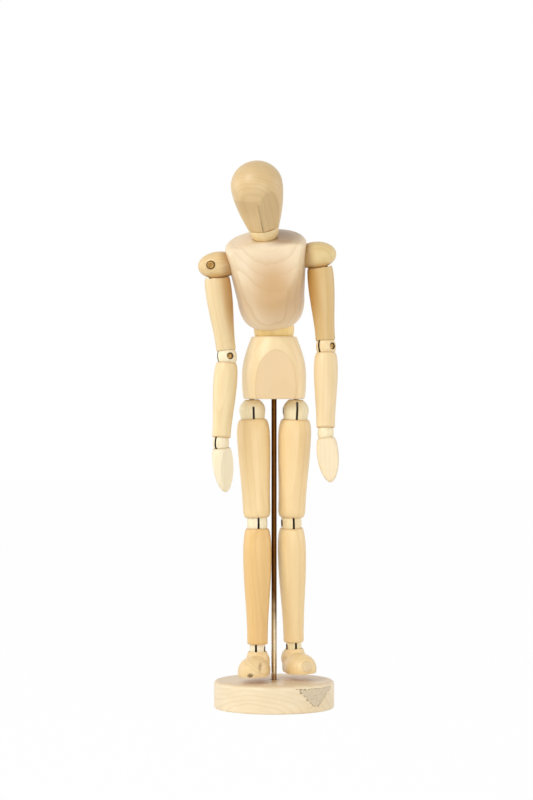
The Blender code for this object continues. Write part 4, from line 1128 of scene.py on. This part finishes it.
def build_shoulder(node, side):
    place = PLACES[node]
    wood = wood_for(node, place @ about("Y", 90.0))
    x, y, z = wood.local(place)
    # Painted shade in the slit and in the rivet's hole
    paint_slit_shade(wood, y, -z, -SLIT_ROOF, BEYOND)
    paint_hole_shade(wood, x, z, y * side, SHOULDER_HOLE)
    # Painted shadow on the shoulder's inner end, next to the chest
    wood.stain((x * -side).between(3.6, 9.6) * 0.62, EGG_PAINTED_SHADOW)
    finish(shoulder_piece(side), node, wood.done())
    build_rivet(node, EGG_RADIUS, SHOULDER_RIVET, place @ shoulder_rivet_turn(side))


def build_arm(side_name, side):
    build_shoulder(side_name + "_shoulder", side)
    node = side_name + "_upper_arm"
    wood = wood_for(node)
    x, _, z = wood.local(PLACES[node])
    # Painted shade on the upper arm's inner side, towards the chest, fading towards the elbow
    wood.stain((x * -side).between(0.5, 8.0) * z.between(-50.0, -22.0) * 0.66, ARM_PAINTED_SHADE)
    finish(upper_arm_piece(side_name), node, wood.done())
    build_barrel(side_name + "_elbow", "elbow", 1)
    build_barrel(side_name + "_wrist", "wrist", -1)
    build_limb(side_name + "_forearm", pattern(forearm_piece), (-ELBOW.half, WRIST.half - FOREARM))
    build_limb(side_name + "_hand", pattern(hand_piece), (-WRIST.half,))


def build_hip(side_name, side):
    node = side_name + "_hip"
    place = PLACES[node]
    wood = wood_for(node)
    x, y, z = wood.local(place)
    # Painted shade in the slit and in the rivet's hole
    paint_slit_shade(wood, x, -z, -HIP_SLIT_TOP[side_name], HIP_BALL)
    paint_hole_shade(wood, y, z, -x * side, HIP_HOLE)
    darken_rims(wood, z, (HIP_FLAT,), 0.8, 0.4)
    finish(hip_piece(side_name), node, wood.done())
    build_rivet(node, HIP_RADIUS, RIVET_HEAD, place @ about("Y", -90.0 * side))


def foot_wood(node):
    """The right foot has a knot and a dark streak, and the left one shows the end of its grain."""
    place = PLACES[node]
    grain = place @ shift(z=-FOOT_MIDDLE) @ about("X", 90.0)
    if node == "right_foot":
        wood = Wood(node, grain, srgb(245, 215, 160), (-6.0, -9.0), 1.7, 51.0, 0.26, (0.16, 0.22))
        space = wood.local(place)
        wood.spot(space, (0.6, -22.0, -12.3), (2.2, 4.0, 1.7), KNOT, 0.85, 0.9)
        wood.spot(space, (5.2, -17.5, -8.6), (1.3, 6.0, 3.8), STREAK, 0.65, 0.9)
        return wood
    wood = Wood(node, grain, srgb(249, 221, 166), (0.6, 0.4), 1.5, 52.0, 0.25)
    space, toe = wood.local(place), (0.5, -TOE_TIP, -9.2)
    wood.spot(space, toe, (3.6, 5.0, 3.6), TOE_RING, 0.5, core=0.8)
    wood.spot(space, toe, (3.2, 4.6, 3.2), TOE_HEART, 0.7, core=0.8)
    return wood


def build_leg(side_name, side):
    build_hip(side_name, side)
    build_limb(side_name + "_thigh", thigh_piece(side_name), (-HIP_DROP, KNEE.half - THIGH))
    build_barrel(side_name + "_knee", "knee", -side)
    build_limb(side_name + "_shin", pattern(shin_piece), (-KNEE.half, ANKLE.half - SHIN))
    build_barrel(side_name + "_ankle", "ankle", -side)
    node = side_name + "_foot"
    finish(pattern(foot_piece), node, foot_wood(node).done())


# Steel

def steel_finish(name, dark, bright, rough):
    """Drawn or pressed steel: fine scratches, duller patches and a brown tarnish in places."""
    steel = Finish(name)
    x, y, z = steel.local(Matrix.Identity(4))
    scratch = steel.noise(steel.vector(x * 2.0, y * 2.0, z * 2.0), 2.2, 4.0, 0.65)
    patch = steel.noise(steel.vector(x, y, z), 0.7, 3.0, 0.6)
    colour = steel.mix(patch.between(0.3, 0.7), dark, bright)
    steel.set(Base_Color=steel.mix(scratch.between(0.55, 0.8) * 0.4, colour, srgb(84, 58, 32)))
    steel.set(Roughness=rough + scratch * 0.2, Metallic=0.9)
    steel.bump(scratch, 0.00003, 0.5)
    return steel.material


STEELS = {
    "pin": steel_finish("rivet_steel", srgb(138, 102, 54), srgb(200, 160, 96), 0.26),
    # The links are nearly black: dark steel, and painted shade for the slits that they sit in
    "link": steel_finish("link_steel", srgb(16, 9, 4), srgb(30, 19, 10), 0.55),
    "spring": steel_finish("spring_steel", srgb(128, 126, 122), srgb(178, 176, 170), 0.26),
}


def dress_steel():
    """The links and springs keep the shape they have, in better steel."""
    for node, piece in frame["nodes"].items():
        kind = node.rsplit("_", 1)[-1]
        if kind in ("link", "spring"):
            for slot in piece.material_slots:
                slot.material = STEELS[kind]


# Studio, in metres and watts

# Each lamp's width and height, its power and its place
LAMPS = {
    "key_softbox": ((0.6, 0.6), 6.6, (-0.69, -0.77, 1.00)),
    "fill_softbox": ((0.8, 0.5), 5.2, (0.30, -1.20, 0.06)),
    "left_side": ((0.6, 0.8), 2.9, (-1.15, 0.14, 0.40)),
    "right_side": ((0.6, 0.8), 2.7, (1.15, 0.14, 0.40)),
}
LAMP_TARGET = Vector((0.0, 0.0, 0.14))
CAMERA_PLACE, LENS, SENSOR = (-0.0042, -1.400, 0.1712), 113.1, 36.0


def seen_by_eye(tree):
    """1 for a ray from the eye, also by a mirror or through glass, and 0 for one that only lights."""
    paths = tree.nodes.new("ShaderNodeLightPath").outputs
    seen = Wire(tree, paths["Is Camera Ray"]).most(Wire(tree, paths["Is Glossy Ray"]))
    return seen.most(Wire(tree, paths["Is Transmission Ray"]))


def floor_finish():
    """A white floor for the eye that still takes the figure's shadow."""
    floor = Finish("studio_floor")
    floor.set(Base_Color=(0.92, 0.92, 0.92), Roughness=0.9, Specular_IOR_Level=0.0)
    glow = floor.node("Emission", Color=(1.0, 1.0, 1.0), Strength=1.0)
    mix = floor.node("MixShader")
    plug(floor.tree, mix.inputs[0], seen_by_eye(floor.tree) * 0.98)
    plug(floor.tree, mix.inputs[1], floor.shader.outputs[0])
    plug(floor.tree, mix.inputs[2], glow.outputs[0])
    plug(floor.tree, floor.tree.nodes["Material Output"].inputs["Surface"], mix.outputs[0])
    return floor.material


def build_floor():
    bpy.ops.mesh.primitive_plane_add(size=8.0)
    floor = bpy.context.object
    floor.name = "floor"
    floor.data.materials.append(floor_finish())


def build_world():
    """A white room that is dimmer for the light it gives than for the eye."""
    world = bpy.data.worlds.new("studio")
    world.use_nodes = True
    background = world.node_tree.nodes["Background"]
    background.inputs["Color"].default_value = (1.0, 1.0, 1.0, 1.0)
    plug(world.node_tree, background.inputs["Strength"], seen_by_eye(world.node_tree) * 0.55 + 0.45)
    bpy.context.scene.world = world


def put_in_scene(name, data, place, turn):
    item = bpy.data.objects.new(name, data)
    item.location, item.rotation_euler = place, turn
    bpy.context.scene.collection.objects.link(item)
    return item


def area_lamp(name, size, energy, place):
    data = bpy.data.lights.new(name, "AREA")
    data.shape, data.size, data.size_y, data.energy = "RECTANGLE", *size, energy
    put_in_scene(name, data, place, (LAMP_TARGET - Vector(place)).to_track_quat("-Z", "Y").to_euler())


def build_camera():
    data = bpy.data.cameras.new("photo_camera")
    data.lens, data.sensor_width = LENS, SENSOR
    data.clip_start = 0.01
    level = (math.radians(90.0), 0.0, 0.0)
    bpy.context.scene.camera = put_in_scene("photo_camera", data, CAMERA_PLACE, level)
    bpy.context.scene.view_settings.view_transform = "Standard"


build_stand()
build_trunk()
for side_name, side in SIDES.items():
    build_arm(side_name, side)
    build_leg(side_name, side)
clear_patterns()
dress_steel()
build_floor()
build_world()
for name, (size, energy, place) in LAMPS.items():
    area_lamp(name, size, energy, place)
build_camera()
